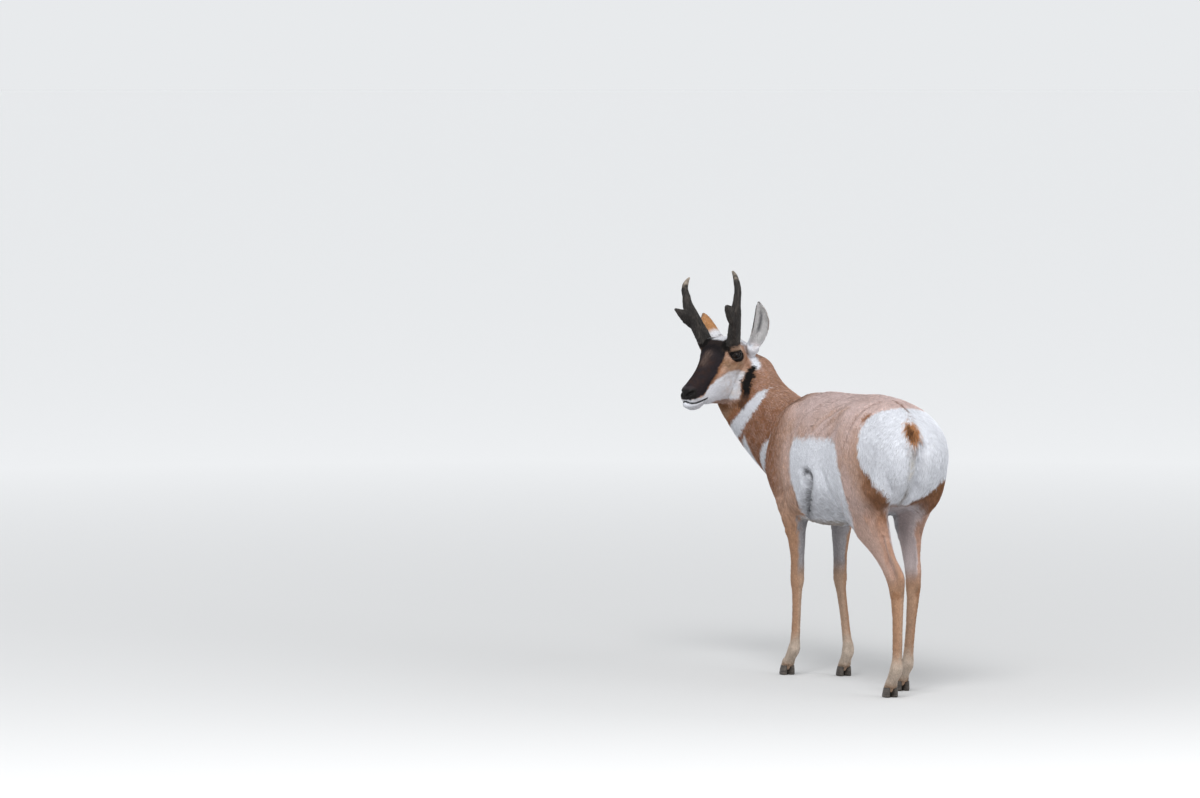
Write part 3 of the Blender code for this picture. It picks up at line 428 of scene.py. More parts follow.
class Finish:    # one material and its nodes
    def __init__(self, name, constants):
        self.material = bpy.data.materials.new(name)
        self.material.use_nodes = True
        self.tree = self.material.node_tree
        self.shader = self.tree.nodes["Principled BSDF"]
        for socket, value in constants.items():
            self.shader.inputs[socket].default_value = value

    def feed(self, socket, value):
        if isinstance(value, Value):
            self.tree.links.new(value.socket, socket)
        else:
            socket.default_value = value

    def node(self, kind, settings, values, output=0):
        made = self.tree.nodes.new("ShaderNode" + kind)
        for setting, value in settings.items():
            if setting == "stops":
                ramp = made.color_ramp.elements
                while len(ramp) < len(value):
                    ramp.new(1)
                for stop, (place, colour) in zip(ramp, value):
                    stop.position = place
                    stop.color = (*colour, 1)
            else:
                setattr(made, setting, value)
        for socket, value in values.items():
            self.feed(made.inputs[socket], value)
        return Value(self, made.outputs[output])

    def mixed(self, factor, first, second, blend="MIX"):
        colours = [shade if isinstance(shade, Value) else (*shade, 1) for shade in (first, second)]
        return self.node("Mix", {"data_type": "RGBA", "blend_type": blend}, {0: factor, 6: colours[0], 7: colours[1]}, 2)

    def stretched(self, scale):    # the object's own coordinates, scaled
        place = self.node("TexCoord", {}, {}, "Object")
        return self.node("Mapping", {}, {"Vector": place, "Scale": scale})

    def noise(self, place, scale, detail=3.0, roughness=0.55):
        return self.node("TexNoise", {}, {"Vector": place, "Scale": scale, "Detail": detail, "Roughness": roughness})

    def ranged(self, value, low, high, least=0.0, most=1.0):
        return self.node("MapRange", {}, {"Value": value, "From Min": low, "From Max": high, "To Min": least, "To Max": most})

    def bump(self, height, strength, distance):
        self.feed(self.shader.inputs["Normal"],
                  self.node("Bump", {}, {"Height": height, "Strength": strength, "Distance": distance}))


coatFinish = {
    "roughness": 0.62,
    # the skin under the tufts is laid darker as painted shade under the coat
    "shadowUnderCoat": 0.80,       # how much darker the skin under the tufts is
    "hairBump": 0.35,
}
hornFinish = {
    "dark": (0.011, 0.009, 0.008),
    "grey": (0.062, 0.052, 0.045),
    "tip": (0.30, 0.25, 0.20),
}


def tuftMaterial():
    made = Finish("tuftedCoat", {"Roughness": coatFinish["roughness"], "Specular IOR Level": 0.05})
    tint = made.node("Attribute", {"attribute_name": "coat"}, {}, "Color")
    strand = made.node("Attribute", {"attribute_name": "strand"}, {}, "Fac")
    hairs = made.node("TexNoise", {"noise_dimensions": "1D"}, {"W": strand, "Scale": 5.0, "Detail": 2.0})
    fleck = made.ranged(hairs, 0.3, 0.7, 0.80, 1.16)
    made.feed(made.shader.inputs["Base Color"], made.node("VectorMath", {"operation": "SCALE"}, {0: tint, "Scale": fleck}))
    return made.material


def skinMaterial():
    made = Finish("skin", {"Specular IOR Level": 0.12})
    tint = made.node("Attribute", {"attribute_name": "coat"}, {}, "Color")
    bare = made.node("Attribute", {"attribute_name": "bare"}, {}, "Fac")
    place = made.stretched((1, 1, 0.35))
    hairs = made.noise(place, 520, 3, 0.6)
    shade = made.ranged(hairs, 0.3, 0.7, 0.80, 1.10)
    colour = made.node("VectorMath", {"operation": "SCALE"}, {0: tint, "Scale": shade})
    made.feed(made.shader.inputs["Base Color"], colour)
    made.feed(made.shader.inputs["Roughness"], 0.72 - 0.36 * bare)
    pebbles = made.node("TexVoronoi", {"feature": "F1"}, {"Vector": made.stretched((1, 1, 1)), "Scale": 620}, "Distance")
    made.bump(hairs * (1 - bare) + 0.45 * pebbles * bare, coatFinish["hairBump"], 0.0012)
    return made.material


def hornMaterial():
    made = Finish("hornSheath", {"Specular IOR Level": 0.30})
    streaks = made.noise(made.stretched((1, 1, 0.10)), 330, 4, 0.6)
    blotches = made.noise(made.stretched((1, 1, 0.5)), 42, 4, 0.6)
    grey = made.ranged(streaks * 0.6 + blotches * 0.5, 0.54, 0.74)
    colour = made.mixed(grey, hornFinish["dark"], hornFinish["grey"])
    tip = made.node("Attribute", {"attribute_name": "tip"}, {}, "Fac")
    colour = made.mixed(tip, colour, hornFinish["tip"])
    made.feed(made.shader.inputs["Base Color"], colour)
    made.feed(made.shader.inputs["Roughness"], 0.58 - 0.14 * tip + 0.12 * grey)
    made.bump(streaks + 0.6 * blotches, 0.45, 0.0016)
    return made.material


def hoofMaterial():
    made = Finish("hoofHorn", {"Specular IOR Level": 0.45})
    rings = made.noise(made.stretched((0.15, 0.15, 1)), 260, 3, 0.55)
    scuffs = made.noise(made.stretched((1, 1, 1)), 120, 5, 0.65)
    colour = made.mixed(made.ranged(rings * 0.5 + scuffs * 0.5, 0.40, 0.62), (0.030, 0.025, 0.022), (0.105, 0.088, 0.074))
    made.feed(made.shader.inputs["Base Color"], colour)
    made.feed(made.shader.inputs["Roughness"], 0.42 + 0.25 * scuffs)
    made.bump(rings + 0.4 * scuffs, 0.30, 0.0012)
    return made.material


def eyeMaterial():
    made = Finish("eyeball", {"Roughness": 0.08, "Specular IOR Level": 0.16})
    iris = made.node("Attribute", {"attribute_name": "iris"}, {}, "Fac")
    fleck = made.noise(made.stretched((1, 1, 1)), 900, 2)
    brown = made.mixed(fleck, (0.006, 0.004, 0.003), (0.014, 0.008, 0.005))
    made.feed(made.shader.inputs["Base Color"], made.mixed(iris, (0.003, 0.003, 0.004), brown))
    return made.material


def wetMaterial():
    made = Finish("wetEdge", {"Specular IOR Level": 0.3})
    grain = made.noise(made.stretched((1, 1, 1)), 900, 2)
    made.feed(made.shader.inputs["Base Color"], made.mixed(grain, (0.006, 0.005, 0.005), (0.022, 0.018, 0.017)))
    made.feed(made.shader.inputs["Roughness"], 0.22 + 0.2 * grain)
    made.bump(grain, 0.15, 0.0005)
    return made.material


hairMaterial = tuftMaterial()
wetBlack = wetMaterial()


skinMesh = makeSkin()


# ---- where a point lies on the animal ----

neck = {
    "centre": [    # rows of x, y, z, up from the chest
        (0.000, -0.270, 0.690),
        (0.010, -0.365, 0.720),
        (0.034, -0.447, 0.764),
        (0.064, -0.512, 0.818),
        (0.090, -0.554, 0.868),
        (0.110, -0.578, 0.913),
        (0.128, -0.592, 0.950),
    ],
    "twist": 96,         # degrees that it turns to the left on its way up
    "twistLate": 1.3,
}
neckCentres = catmullRom(neck["centre"], 8)
neckRuns = np.gradient(neckCentres, axis=0)
neckRuns /= np.linalg.norm(neckRuns, axis=1)[:, None]
neckSteps = np.linspace(0, 1, len(neckCentres))
neckTurns = radians(neck["twist"]) * neckSteps ** neck["twistLate"]
neckSides = np.stack([np.cos(neckTurns), np.sin(neckTurns), 0 * neckTurns], 1)
neckSides -= neckRuns * (neckSides * neckRuns).sum(1)[:, None]
neckSides /= np.linalg.norm(neckSides, axis=1)[:, None]
neckNapes = np.cross(neckRuns, neckSides)


def neckPlace(body):    # how far up the neck, degrees round from the throat, and metres from its middle
    nearest = np.zeros(len(body), int)
    least = np.full(len(body), np.inf)
    for i, centre in enumerate(neckCentres):
        far = np.linalg.norm(body - centre, axis=1)
        nearest[far < least] = i
        least = np.minimum(least, far)
    offset = body - neckCentres[nearest]
    across = (offset * neckSides[nearest]).sum(1)
    back = (offset * neckNapes[nearest]).sum(1)
    along = (offset * neckRuns[nearest]).sum(1)
    up = neckSteps[nearest] + along / 0.45
    return up, np.degrees(np.arctan2(across, -back)), np.hypot(across, back)


def wander(points, size, seed):    # a smooth random field, about -1 to 1, with lumps of the given size
    draw = np.random.default_rng(seed)
    total = np.zeros(len(points))
    for _ in range(8):
        way = draw.normal(size=3)
        way *= tau / (size * draw.uniform(0.8, 1.5)) / np.linalg.norm(way)
        total += np.sin(points @ way + draw.uniform(0, tau))
    return total / 2.8


def toPath(points, path):    # distance to a line of straight pieces
    nearest = np.full(len(points), np.inf)
    for start, end in zip(path, path[1:]):
        start = np.array(start, float)
        run = np.array(end, float) - start
        along = np.clip((points - start) @ run / (run @ run), 0, 1)
        nearest = np.minimum(nearest, np.linalg.norm(points - start - along[:, None] * run, axis=1))
    return nearest


def soft(value, width):    # 0 below -width, 1 above width
    return smoothstep(value, -width, width)


def over(colour, shade, weight):
    return colour + (np.array(shade) - colour) * np.clip(weight, 0, 1)[:, None]


# ---- the coat's colours ----

coatColours = {
    "tan": (0.53, 0.335, 0.245),
    "paleTanAndHighlight": (0.72, 0.560, 0.540),
    "neckTan": (0.245, 0.100, 0.047),
    "rust": (0.30, 0.125, 0.050),
    "brown": (0.180, 0.076, 0.032),
    "beige": (0.52, 0.38, 0.27),
    "white": (0.82, 0.84, 0.90),
    "shadowWhite": (0.50, 0.50, 0.53),
    "innerLegShadow": (0.36, 0.36, 0.385),
    "dirt": (0.30, 0.235, 0.175),
    "darkBrown": (0.075, 0.032, 0.016),
    "tailOrange": (0.46, 0.20, 0.065),
    "mask": (0.024, 0.019, 0.022),
    "black": (0.008, 0.007, 0.007),
    "greyTan": (0.27, 0.20, 0.175),
    "legTan": (0.44, 0.245, 0.145),
    "paleLeg": (0.66, 0.56, 0.47),
    "earGrey": (0.10, 0.10, 0.11),
    "armpitShadow": (0.13, 0.13, 0.145),
    "browTan": (0.24, 0.16, 0.11),
    "brow": (0.135, 0.094, 0.078),
    "cleftShadow": (0.20, 0.16, 0.13),
}
# Side views of the markings, in the body's frame: pairs of height and place along the body, front and back
panelFront = [(0.44, -0.125), (0.505, -0.140), (0.521, -0.122), (0.540, -0.086), (0.555, -0.076), (0.568, -0.086), (0.584, -0.106), (0.619, -0.130), (0.648, -0.148),
              (0.694, -0.147), (0.741, -0.134), (0.76, -0.120)]
panelBack = [(0.44, 0.265), (0.50, 0.276), (0.530, 0.281), (0.584, 0.269), (0.643, 0.250), (0.688, 0.236), (0.732, 0.221),
             (0.765, 0.190)]
rumpFront = [(0.55, 0.400), (0.655, 0.440), (0.684, 0.416), (0.713, 0.390), (0.756, 0.365), (0.80, 0.352),
             (0.832, 0.345), (0.850, 0.354), (0.863, 0.384), (0.873, 0.400), (0.885, 0.430)]
rumpWidth = [(0.562, 0.0), (0.572, 0.010), (0.583, 0.026), (0.60, 0.048), (0.622, 0.078), (0.655, 0.110), (0.68, 0.18)]
rumpMiddle = [(0.60, 0.020), (0.70, 0.020), (0.80, 0.016), (0.84, 0.0)]    # the rear swings a little to its left
armpitLine = [(0.150, -0.002, 0.653), (0.147, 0.020, 0.657), (0.146, 0.040, 0.646), (0.146, 0.043, 0.628), (0.145, 0.030, 0.608),
              (0.143, 0.012, 0.590), (0.138, -0.008, 0.568), (0.123, -0.046, 0.538), (0.092, -0.115, 0.506)]
armpitRight = 0.35    # how deep the fold is on the right, where the leg hangs back less
hipCrease = [(0.040, 0.307, 0.880), (0.075, 0.299, 0.865), (0.100, 0.296, 0.844), (0.122, 0.287, 0.814), (0.140, 0.282, 0.778), (0.147, 0.270, 0.735)]
# In the head's frame: pairs of forward place and height, then of height and forward place
maskLow = [(0.026, 0.040), (0.031, 0.020), (0.044, -0.006), (0.0605, -0.026), (0.0835, -0.0535), (0.111, -0.0835),
           (0.125, -0.0945), (0.150, -0.0975), (0.190, -0.0975)]
cheekTop = [(-0.045, -0.050), (-0.02, -0.043), (0.0, -0.038), (0.023, -0.036), (0.045, -0.0425), (0.065, -0.0515),
            (0.0835, -0.065), (0.099, -0.0765), (0.111, -0.0855), (0.125, -0.0955), (0.150, -0.0975), (0.190, -0.0975)]
cheekBack = [(-0.150, -0.001), (-0.130, -0.006), (-0.1146, -0.011), (-0.0936, -0.0165), (-0.082, -0.020), (-0.070, -0.028),
             (-0.0565, -0.0390), (-0.045, -0.0440)]
throatPatch = [(-0.068, 0.077, -0.039), (-0.0490, 0.0782, -0.0570), (-0.0345, 0.0785, -0.0750), (-0.0245, 0.0805, -0.0940),
               (-0.0160, 0.0850, -0.115), (-0.0110, 0.0850, -0.130), (-0.004, 0.070, -0.148)]
patchHalf = [(-0.150, 0.008), (-0.128, 0.0105), (-0.0994, 0.0145), (-0.0777, 0.0180), (-0.0585, 0.0170), (-0.040, 0.0085)]
mouthLine = [(0.187, 0.0, -0.1035), (0.181, 0.0065, -0.1070), (0.171, 0.0155, -0.1112), (0.157, 0.0215, -0.1130),
             (0.138, 0.0235, -0.1125), (0.117, 0.0240, -0.1110), (0.104, 0.0265, -0.1090)]
earStrip = [(-0.076, 0.058, 0.033), (-0.074, 0.068, 0.010), (-0.088, 0.064, -0.006), (-0.0925, 0.062, -0.013), (-0.089, 0.068, -0.022),
            (-0.084, 0.077, -0.030), (-0.080, 0.082, -0.037)]
browBand = [(0.085, 0.0, -0.002), (0.068, 0.0, 0.012), (0.057, 0.003, 0.021)]
backFolds = [    # slanting wrinkles behind the shoulder and before the hip
    [(0.138, -0.038, 0.762), (0.125, 0.001, 0.792), (0.108, 0.037, 0.821), (0.087, 0.085, 0.851), (0.064, 0.144, 0.872)],
    [(0.137, 0.049, 0.761), (0.120, 0.086, 0.794), (0.104, 0.145, 0.827), (0.095, 0.205, 0.856)],
    [(0.132, 0.008, 0.770), (0.114, 0.060, 0.808), (0.096, 0.108, 0.842), (0.078, 0.165, 0.866)],
    [(0.118, -0.144, 0.777), (0.111, -0.100, 0.810), (0.090, -0.056, 0.843), (0.056, -0.019, 0.869)],
    [(0.127, 0.108, 0.765), (0.126, 0.180, 0.796), (0.120, 0.225, 0.824)],
]
neckFolds = [
    [(0.040, -0.350, 0.850), (0.090, -0.330, 0.805), (0.119, -0.308, 0.755)],
    [(0.060, -0.240, 0.862), (0.105, -0.262, 0.800), (0.129, -0.275, 0.735)],
]


def table(value, pairs):
    places, values = zip(*pairs)
    return np.interp(value, places, values)


class Place:    # everything that the coat asks about its points
    def __init__(self, points, normals):
        self.points = points
        self.normals = normals
        self.body = inBody(points)
        self.x, self.y, self.z = self.body.T
        self.out = np.abs(self.x)
        self.head = inHead(points)
        self.hx, self.hy, self.hz = self.head.T
        self.headOut = np.abs(self.hy)
        self.headSide = self.head * np.stack([np.ones(len(points)), np.sign(self.hy), np.ones(len(points))], 1)
        self.headNormals = normals @ headToRow[:3, :3]
        self.up, self.round, self.fromNeck = neckPlace(self.body)
        self.past = neckSide(points)
        inReach = np.linalg.norm(self.head - np.array((0.0, 0.0, 0.02)), axis=1) < 0.30
        self.onHead = soft(-self.past, 0.004) * inReach
        self.onJaw = soft(0.070 - self.headOut, 0.004) * soft(self.hz + 0.156, 0.004) * soft(self.hx + 0.055, 0.01)
        self.onJaw *= self.onHead
        self.onNeck = soft(self.up - 0.06, 0.06) * (self.fromNeck < 0.17) * (1 - self.onJaw) * (self.y < -0.15)
        self.ears = [earPlace(self, side) for side in ("left", "right")]
        self.onEar = np.maximum(self.ears[0][3], self.ears[1][3])


ears = {    # in the head's frame
    "left": {"root": (-0.096, 0.062, 0.026), "tip": (-0.089, 0.101, 0.168), "opening": (0.70, 0.70, 0.05), "bow": 0.017},
    "right": {"root": (-0.094, -0.060, 0.033), "tip": (-0.136, -0.160, 0.102), "opening": (-0.10, -0.55, -0.80), "bow": 0.010},
}
earBreadths = [(0.0, 0.0200), (0.15, 0.0215), (0.35, 0.0250), (0.55, 0.0250), (0.8, 0.0175), (1.0, 0.0024)]


def earAxes(side):
    root, tip, opening = (np.array(ears[side][key], float) for key in ("root", "tip", "opening"))
    length = np.linalg.norm(tip - root)
    up = (tip - root) / length
    opening -= up * (opening @ up)
    opening /= np.linalg.norm(opening)
    outward = np.cross(up, opening)
    if outward[1] * (1 if side == "left" else -1) < 0:
        outward = -outward
    return root, up, opening, outward, length


def earPlace(place, side):    # share of the way to the tip, place across in half breadths, into the cup, and whether it is on it
    root, up, opening, outward, length = earAxes(side)
    offset = place.head - root
    t = offset @ up / length
    across = offset @ outward - ears[side]["bow"] * np.sin(pi * np.clip(t, 0, 1))
    depth = offset @ opening
    breadth = table(t, earBreadths)
    near = (np.abs(across) < breadth + 0.012) & (np.abs(depth - 0.5 * breadth) < 0.045)
    on = soft(t - 0.02, 0.05) * near * (t < 1.1)
    inside = soft((place.headNormals @ opening) - 0.05, 0.12)
    return t, across / breadth, inside, on


def coatColour(place):
    shades = coatColours
    count = len(place.points)
    body, x, y, z, out = place.body, place.x, place.y, place.z, place.out
    normal = place.normals
    lumps = wander(body, 0.020, 1)
    broad = wander(body, 0.09, 2)
    fine = wander(body, 0.008, 3)
    edge = 0.004 * lumps + 0.003 * fine
    colour = np.tile(np.array(shades["tan"]), (count, 1))
    # painted highlight: the back, the faces that look up and the upper body are laid lighter, as the light falls from
    # above
    colour = over(colour, shades["paleTanAndHighlight"], 0.75 * smoothstep(normal[:, 2], 0.1, 0.9) * soft(y + 0.22, 0.10))
    colour = over(colour, shades["paleTanAndHighlight"], (0.40 + 0.25 * broad) * soft(z - 0.62, 0.08) * soft(y + 0.20, 0.08) * soft(0.33 - y, 0.06))
    # neck and shoulder
    neckWeight = soft(-y - 0.24, 0.07) * soft(z - 0.56, 0.05)
    # less neck tan on faces that look up, so that the painted highlight shows on the top of the neck
    colour = over(colour, shades["neckTan"], 0.92 * neckWeight * (1 - 0.45 * smoothstep(normal[:, 2], 0.2, 0.9)))
    colour = over(colour, shades["paleTanAndHighlight"], 0.30 * soft(fine + 0.6 * lumps - 0.4, 0.5) * soft(z - 0.55, 0.05))
    colour = over(colour, shades["browTan"], 0.22 * soft(-fine + 0.5 * lumps - 0.5, 0.4))
    colour = over(colour, shades["rust"], 0.30 * neckWeight * soft(lumps - 0.5, 0.5))
    # painted shade: brown along the folds at the foot of the neck
    for hand in (1, -1):
        for path in neckFolds:
            far = toPath(body * np.array([hand, 1, 1]), path)
            colour = over(colour, shades["brown"], 0.42 * np.exp(-((far + edge) / 0.016) ** 2))
    # white panel on the flank and belly
    panel = soft(y - table(z, panelFront) + 0.9 * edge, 0.012) * soft(table(z, panelBack) - y + 0.7 * edge, 0.006)
    panel *= soft(0.757 + 0.005 * broad - z + 0.9 * edge, 0.011)
    panel *= soft(z - 0.44, 0.02)
    under = smoothstep(-normal[:, 2], 0.25, 0.60) * soft(0.62 - z, 0.03) * (z > 0.44) * soft(y + 0.36, 0.04)
    under *= np.where(y > 0.2, soft(table(z, panelBack) - y, 0.006) + soft(0.075 - out, 0.02), 1) * soft(0.42 - y, 0.04)
    under *= np.where((z < 0.62) & (y < 0.02), soft(0.090 - out, 0.008), 1)
    under = np.clip(under, 0, 1)
    panel = np.maximum(panel, under)
    colour = over(colour, shades["white"], panel)
    colour = over(colour, shades["shadowWhite"], 0.50 * panel * soft(0.570 - z + 0.012 * broad, 0.03) * (0.75 + 0.4 * lumps))
    colour = over(colour, shades["dirt"], 0.75 * panel * soft(0.500 - z + edge, 0.009) * (out > 0.02))
    # legs: tan outside, pale inside, pale pasterns
    hand = np.sign(x)
    inner = -normal[:, 0] * hand
    onFore = soft(0.50 - z, 0.05) * (y < 0.1)
    onHind = soft(0.55 - z, 0.03) * (y > 0.1)
    colour = over(colour, shades["legTan"], 0.8 * np.maximum(onFore, onHind) * (1 - panel))
    # the pale inner faces of the forelegs, laid grey as painted shade
    innerFore = soft(inner * 0.9 + normal[:, 1] * 0.45 - 0.12 + 0.06 * lumps, 0.28) * soft(0.60 - z, 0.03) * soft(z - 0.335, 0.03)
    colour = over(colour, shades["innerLegShadow"], 0.90 * innerFore * (y < 0.1) * (z > 0.3))
    innerHind = soft(inner - 0.60 + 0.1 * lumps, 0.14) * soft(0.60 - z, 0.03) * soft(z - 0.36, 0.03) * soft(0.105 - out, 0.01)
    colour = over(colour, shades["shadowWhite"], 0.85 * innerHind * (y > 0.1))
    low = soft(0.330 - z, 0.03)
    colour = over(colour, shades["beige"], 0.12 * low)
    colour = over(colour, shades["paleLeg"], 0.25 * low * soft(inner + 0.1, 0.3))
    colour = over(colour, shades["legTan"], 0.45 * soft(0.36 - z, 0.03) * (y > 0.2))
    colour = over(colour, shades["paleLeg"], 0.80 * soft(0.120 - z + edge, 0.03) * soft(z - 0.040, 0.01))
    colour = over(colour, shades["dirt"], 0.32 * soft(0.125 - z, 0.03) * soft(lumps + 0.5 * fine - 0.35, 0.4))
    colour = over(colour, shades["dirt"], 0.35 * soft(0.045 - z, 0.008))
    # painted shade: darker at the knees and hocks
    joint = soft(0.030 - np.abs(z - 0.345), 0.02) * soft(lumps + 0.2, 0.8)
    colour = over(colour, shades["browTan"], 0.25 * joint)
    shin = soft(-normal[:, 1] - 0.3, 0.3) * soft(0.60 - z, 0.05) * (y > 0.1)
    colour = over(colour, shades["paleTanAndHighlight"], 0.40 * shin * soft(z - 0.36, 0.03))
    gland = np.hypot(y - np.where(x > 0, 0.486, 0.360), z - 0.31) + edge
    colour = over(colour, shades["rust"], 0.35 * soft(0.013 - gland, 0.006) * soft(normal[:, 0] * hand + 0.35, 0.3) * (y > 0.1))
    # armpit, hip crease and wrinkles, darkened with painted shade in their folds
    for mirror in (1, -1):
        twin = body * np.array([mirror, 1, 1])
        sunk = twin + np.array((0.009, 0.003, 0.003))
        far = toPath(sunk, armpitLine) + 0.4 * edge
        depth = 1 if mirror > 0 else armpitRight
        # painted shade in the armpit's fold: grey on the white, darker along the fold, near black at its deepest part
        colour = over(colour, shades["shadowWhite"], 0.75 * depth * np.exp(-(far / 0.020) ** 2) * panel)
        colour = over(colour, shades["armpitShadow"], 0.68 * depth * np.exp(-(far / 0.0105) ** 2))
        colour = over(colour, shades["mask"], 0.85 * depth * np.exp(-((toPath(sunk, armpitLine[5:8]) + 0.3 * edge) / 0.0080) ** 2))
        colour = over(colour, shades["mask"], 0.35 * depth * np.exp(-((toPath(sunk, armpitLine[:3]) + 0.3 * edge) / 0.0070) ** 2))
        # painted shade along the wrinkles on the flank and along the hip crease
        for path in backFolds:
            colour = over(colour, shades["browTan"], 0.24 * np.exp(-((toPath(twin, path) + 0.5 * edge) / 0.0050) ** 2))
        colour = over(colour, shades["brown"], 0.42 * np.exp(-((toPath(twin, hipCrease) + 0.5 * edge) / 0.0062) ** 2))
        far = toPath(twin, [(0.136, -0.090, 0.562), (0.132, -0.098, 0.545)])
        colour = over(colour, shades["brown"], 0.75 * soft(0.0075 - far + edge, 0.004))
    # back of the thigh, below the rump patch
    front = soft(0.375 - y + 0.5 * (0.60 - z), 0.04) * soft(y - 0.265, 0.02) * soft(0.66 - z, 0.05) * soft(z - 0.36, 0.04)
    colour = over(colour, shades["paleTanAndHighlight"], 0.45 * front)
    thigh = soft(y - 0.392 + 0.008 * lumps, 0.030) * soft(z - 0.530, 0.035) * soft(0.71 - z, 0.03)
    colour = over(colour, shades["rust"], 0.60 * thigh * soft(normal[:, 1] + 0.15, 0.40))
    colour = over(colour, shades["brown"], 0.70 * thigh ** 2 * soft(normal[:, 1] - 0.05, 0.35))
    behind = soft(normal[:, 1] - 0.45, 0.3) * soft(z - 0.38, 0.05) * soft(0.56 - z, 0.03) * (y > 0.2) * soft(0.5 - inner, 0.2)
    colour = over(colour, shades["rust"], 0.45 * behind)
    # rump patch
    aside = x - table(z, rumpMiddle)
    rump = soft(y - table(z, rumpFront) + 1.2 * edge, 0.006) * soft(table(z, rumpWidth) - np.abs(aside) + 1.2 * edge, 0.006)
    colour = over(colour, shades["white"], rump)
    lobe = soft(0.745 - z, 0.06) * rump
    # painted shade: grey down the middle of the lower rump and on its lower lobes, darker in the cleft
    colour = over(colour, shades["shadowWhite"], 0.40 * lobe * np.exp(-(aside / 0.014) ** 2))
    colour = over(colour, shades["cleftShadow"], 0.75 * soft(0.635 - z, 0.02) * rump * np.exp(-(aside / 0.0045) ** 2))
    colour = over(colour, shades["shadowWhite"], 0.22 * lobe * (0.6 + 0.6 * broad))
    spot = np.hypot((x - 0.017) / 0.0225, (z - 0.803) / 0.029) + 0.16 * fine + 0.12 * lumps
    colour = over(colour, shades["tailOrange"], 0.95 * soft(0.95 - spot, 0.20) * (y > 0.42))
    colour = over(colour, shades["rust"], 0.8 * soft(0.70 - spot + 0.3 * fine, 0.25) * (y > 0.42))
    core = np.hypot((x - 0.021) / 0.009, (z - 0.806) / 0.017) + 0.3 * fine
    colour = over(colour, shades["black"], 0.75 * soft(0.9 - core, 0.5) * (y > 0.42))
    lower = np.hypot((x - 0.020) / 0.017, (z - 0.757) / 0.016) + 0.3 * fine
    colour = over(colour, shades["greyTan"], 0.60 * soft(0.9 - lower, 0.4) * (y > 0.42))
    wisps = np.exp(-((aside - 0.004) / 0.010) ** 2) * soft(0.748 - z, 0.01) * soft(z - 0.670, 0.02)
    colour = over(colour, (0.70, 0.63, 0.50), 0.65 * wisps * soft(fine + 0.3, 0.5) * (y > 0.42))
    specks = np.hypot((x - 0.004) / 0.012, (z - 0.842) / 0.010)
    colour = over(colour, shades["greyTan"], 0.65 * soft(1 - specks, 0.3) * soft(wander(body, 0.004, 4) - 0.3, 0.3) * (y > 0.38))
    spine = np.abs(x + 0.001 + 0.4 * edge)
    colour = over(colour, shades["brown"], 0.75 * soft(0.0035 - spine, 0.002) * soft(y - 0.315, 0.03) * soft(0.415 - y, 0.01) * (z > 0.8))
    colour = over(colour, shades["rust"], 0.9 * soft(0.0105 - toPath(body, [(0.102, 0.337, 0.838), (0.095, 0.345, 0.848)]) + edge, 0.003))
    # neck bands
    side = np.abs(place.round)
    bandHalf = 0.041 * np.sqrt(np.clip(1 - (np.clip(side - 112, 0, None) / 29) ** 2, 0, 1)) + 0.004 * smoothstep(-side, -60, 0)
    bandMiddle = 0.500 + 0.012 * smoothstep(side, 100, 145) + 0.025 * smoothstep(-side, -60, 0)
    band = soft(bandHalf - np.abs(place.up - bandMiddle) + 0.4 * edge / 0.45, 0.006) * soft(150 - side, 2)
    crescentMiddle = 0.265 - 0.035 * smoothstep(side, 50, 95)
    crescentHalf = 0.020 * smoothstep(side, 14, 34) * (1 - 0.5 * smoothstep(side, 70, 98))
    crescent = soft(crescentHalf - np.abs(place.up - crescentMiddle) + 0.4 * edge / 0.45, 0.006) * soft(98 - side, 3) * (side > 12)
    front = soft(0.062 - np.abs(place.up - 0.375) + edge, 0.012) * soft(27 + 10 * (place.up - 0.375) / 0.06 - side, 4)
    breast = soft(0.045 - toPath(body, [(0.0, -0.36, 0.52), (0.0, -0.25, 0.50)]), 0.02)
    throat = soft(side - 0, 1) * soft(46 - side, 12) * soft(place.up - 0.60, 0.03) * soft(0.86 - place.up, 0.04)
    jawLine = soft(place.up - 0.56, 0.03) * soft(75 - side, 20)
    colour = over(colour, shades["rust"], 0.75 * jawLine * place.onNeck)
    colour = over(colour, shades["brown"], 0.70 * soft(place.up - 0.66, 0.05) * soft(side - 30, 20) * soft(110 - side, 20) * place.onNeck)
    colour = over(colour, shades["beige"], 0.50 * throat * place.onNeck)
    bands = np.maximum(np.maximum(band, crescent), front) * place.onNeck
    colour = over(colour, shades["white"], np.maximum(bands, breast))
    colour = over(colour, shades["shadowWhite"], 0.30 * bands)
    return faceColour(place, earColour(place, colour), lumps, fine)


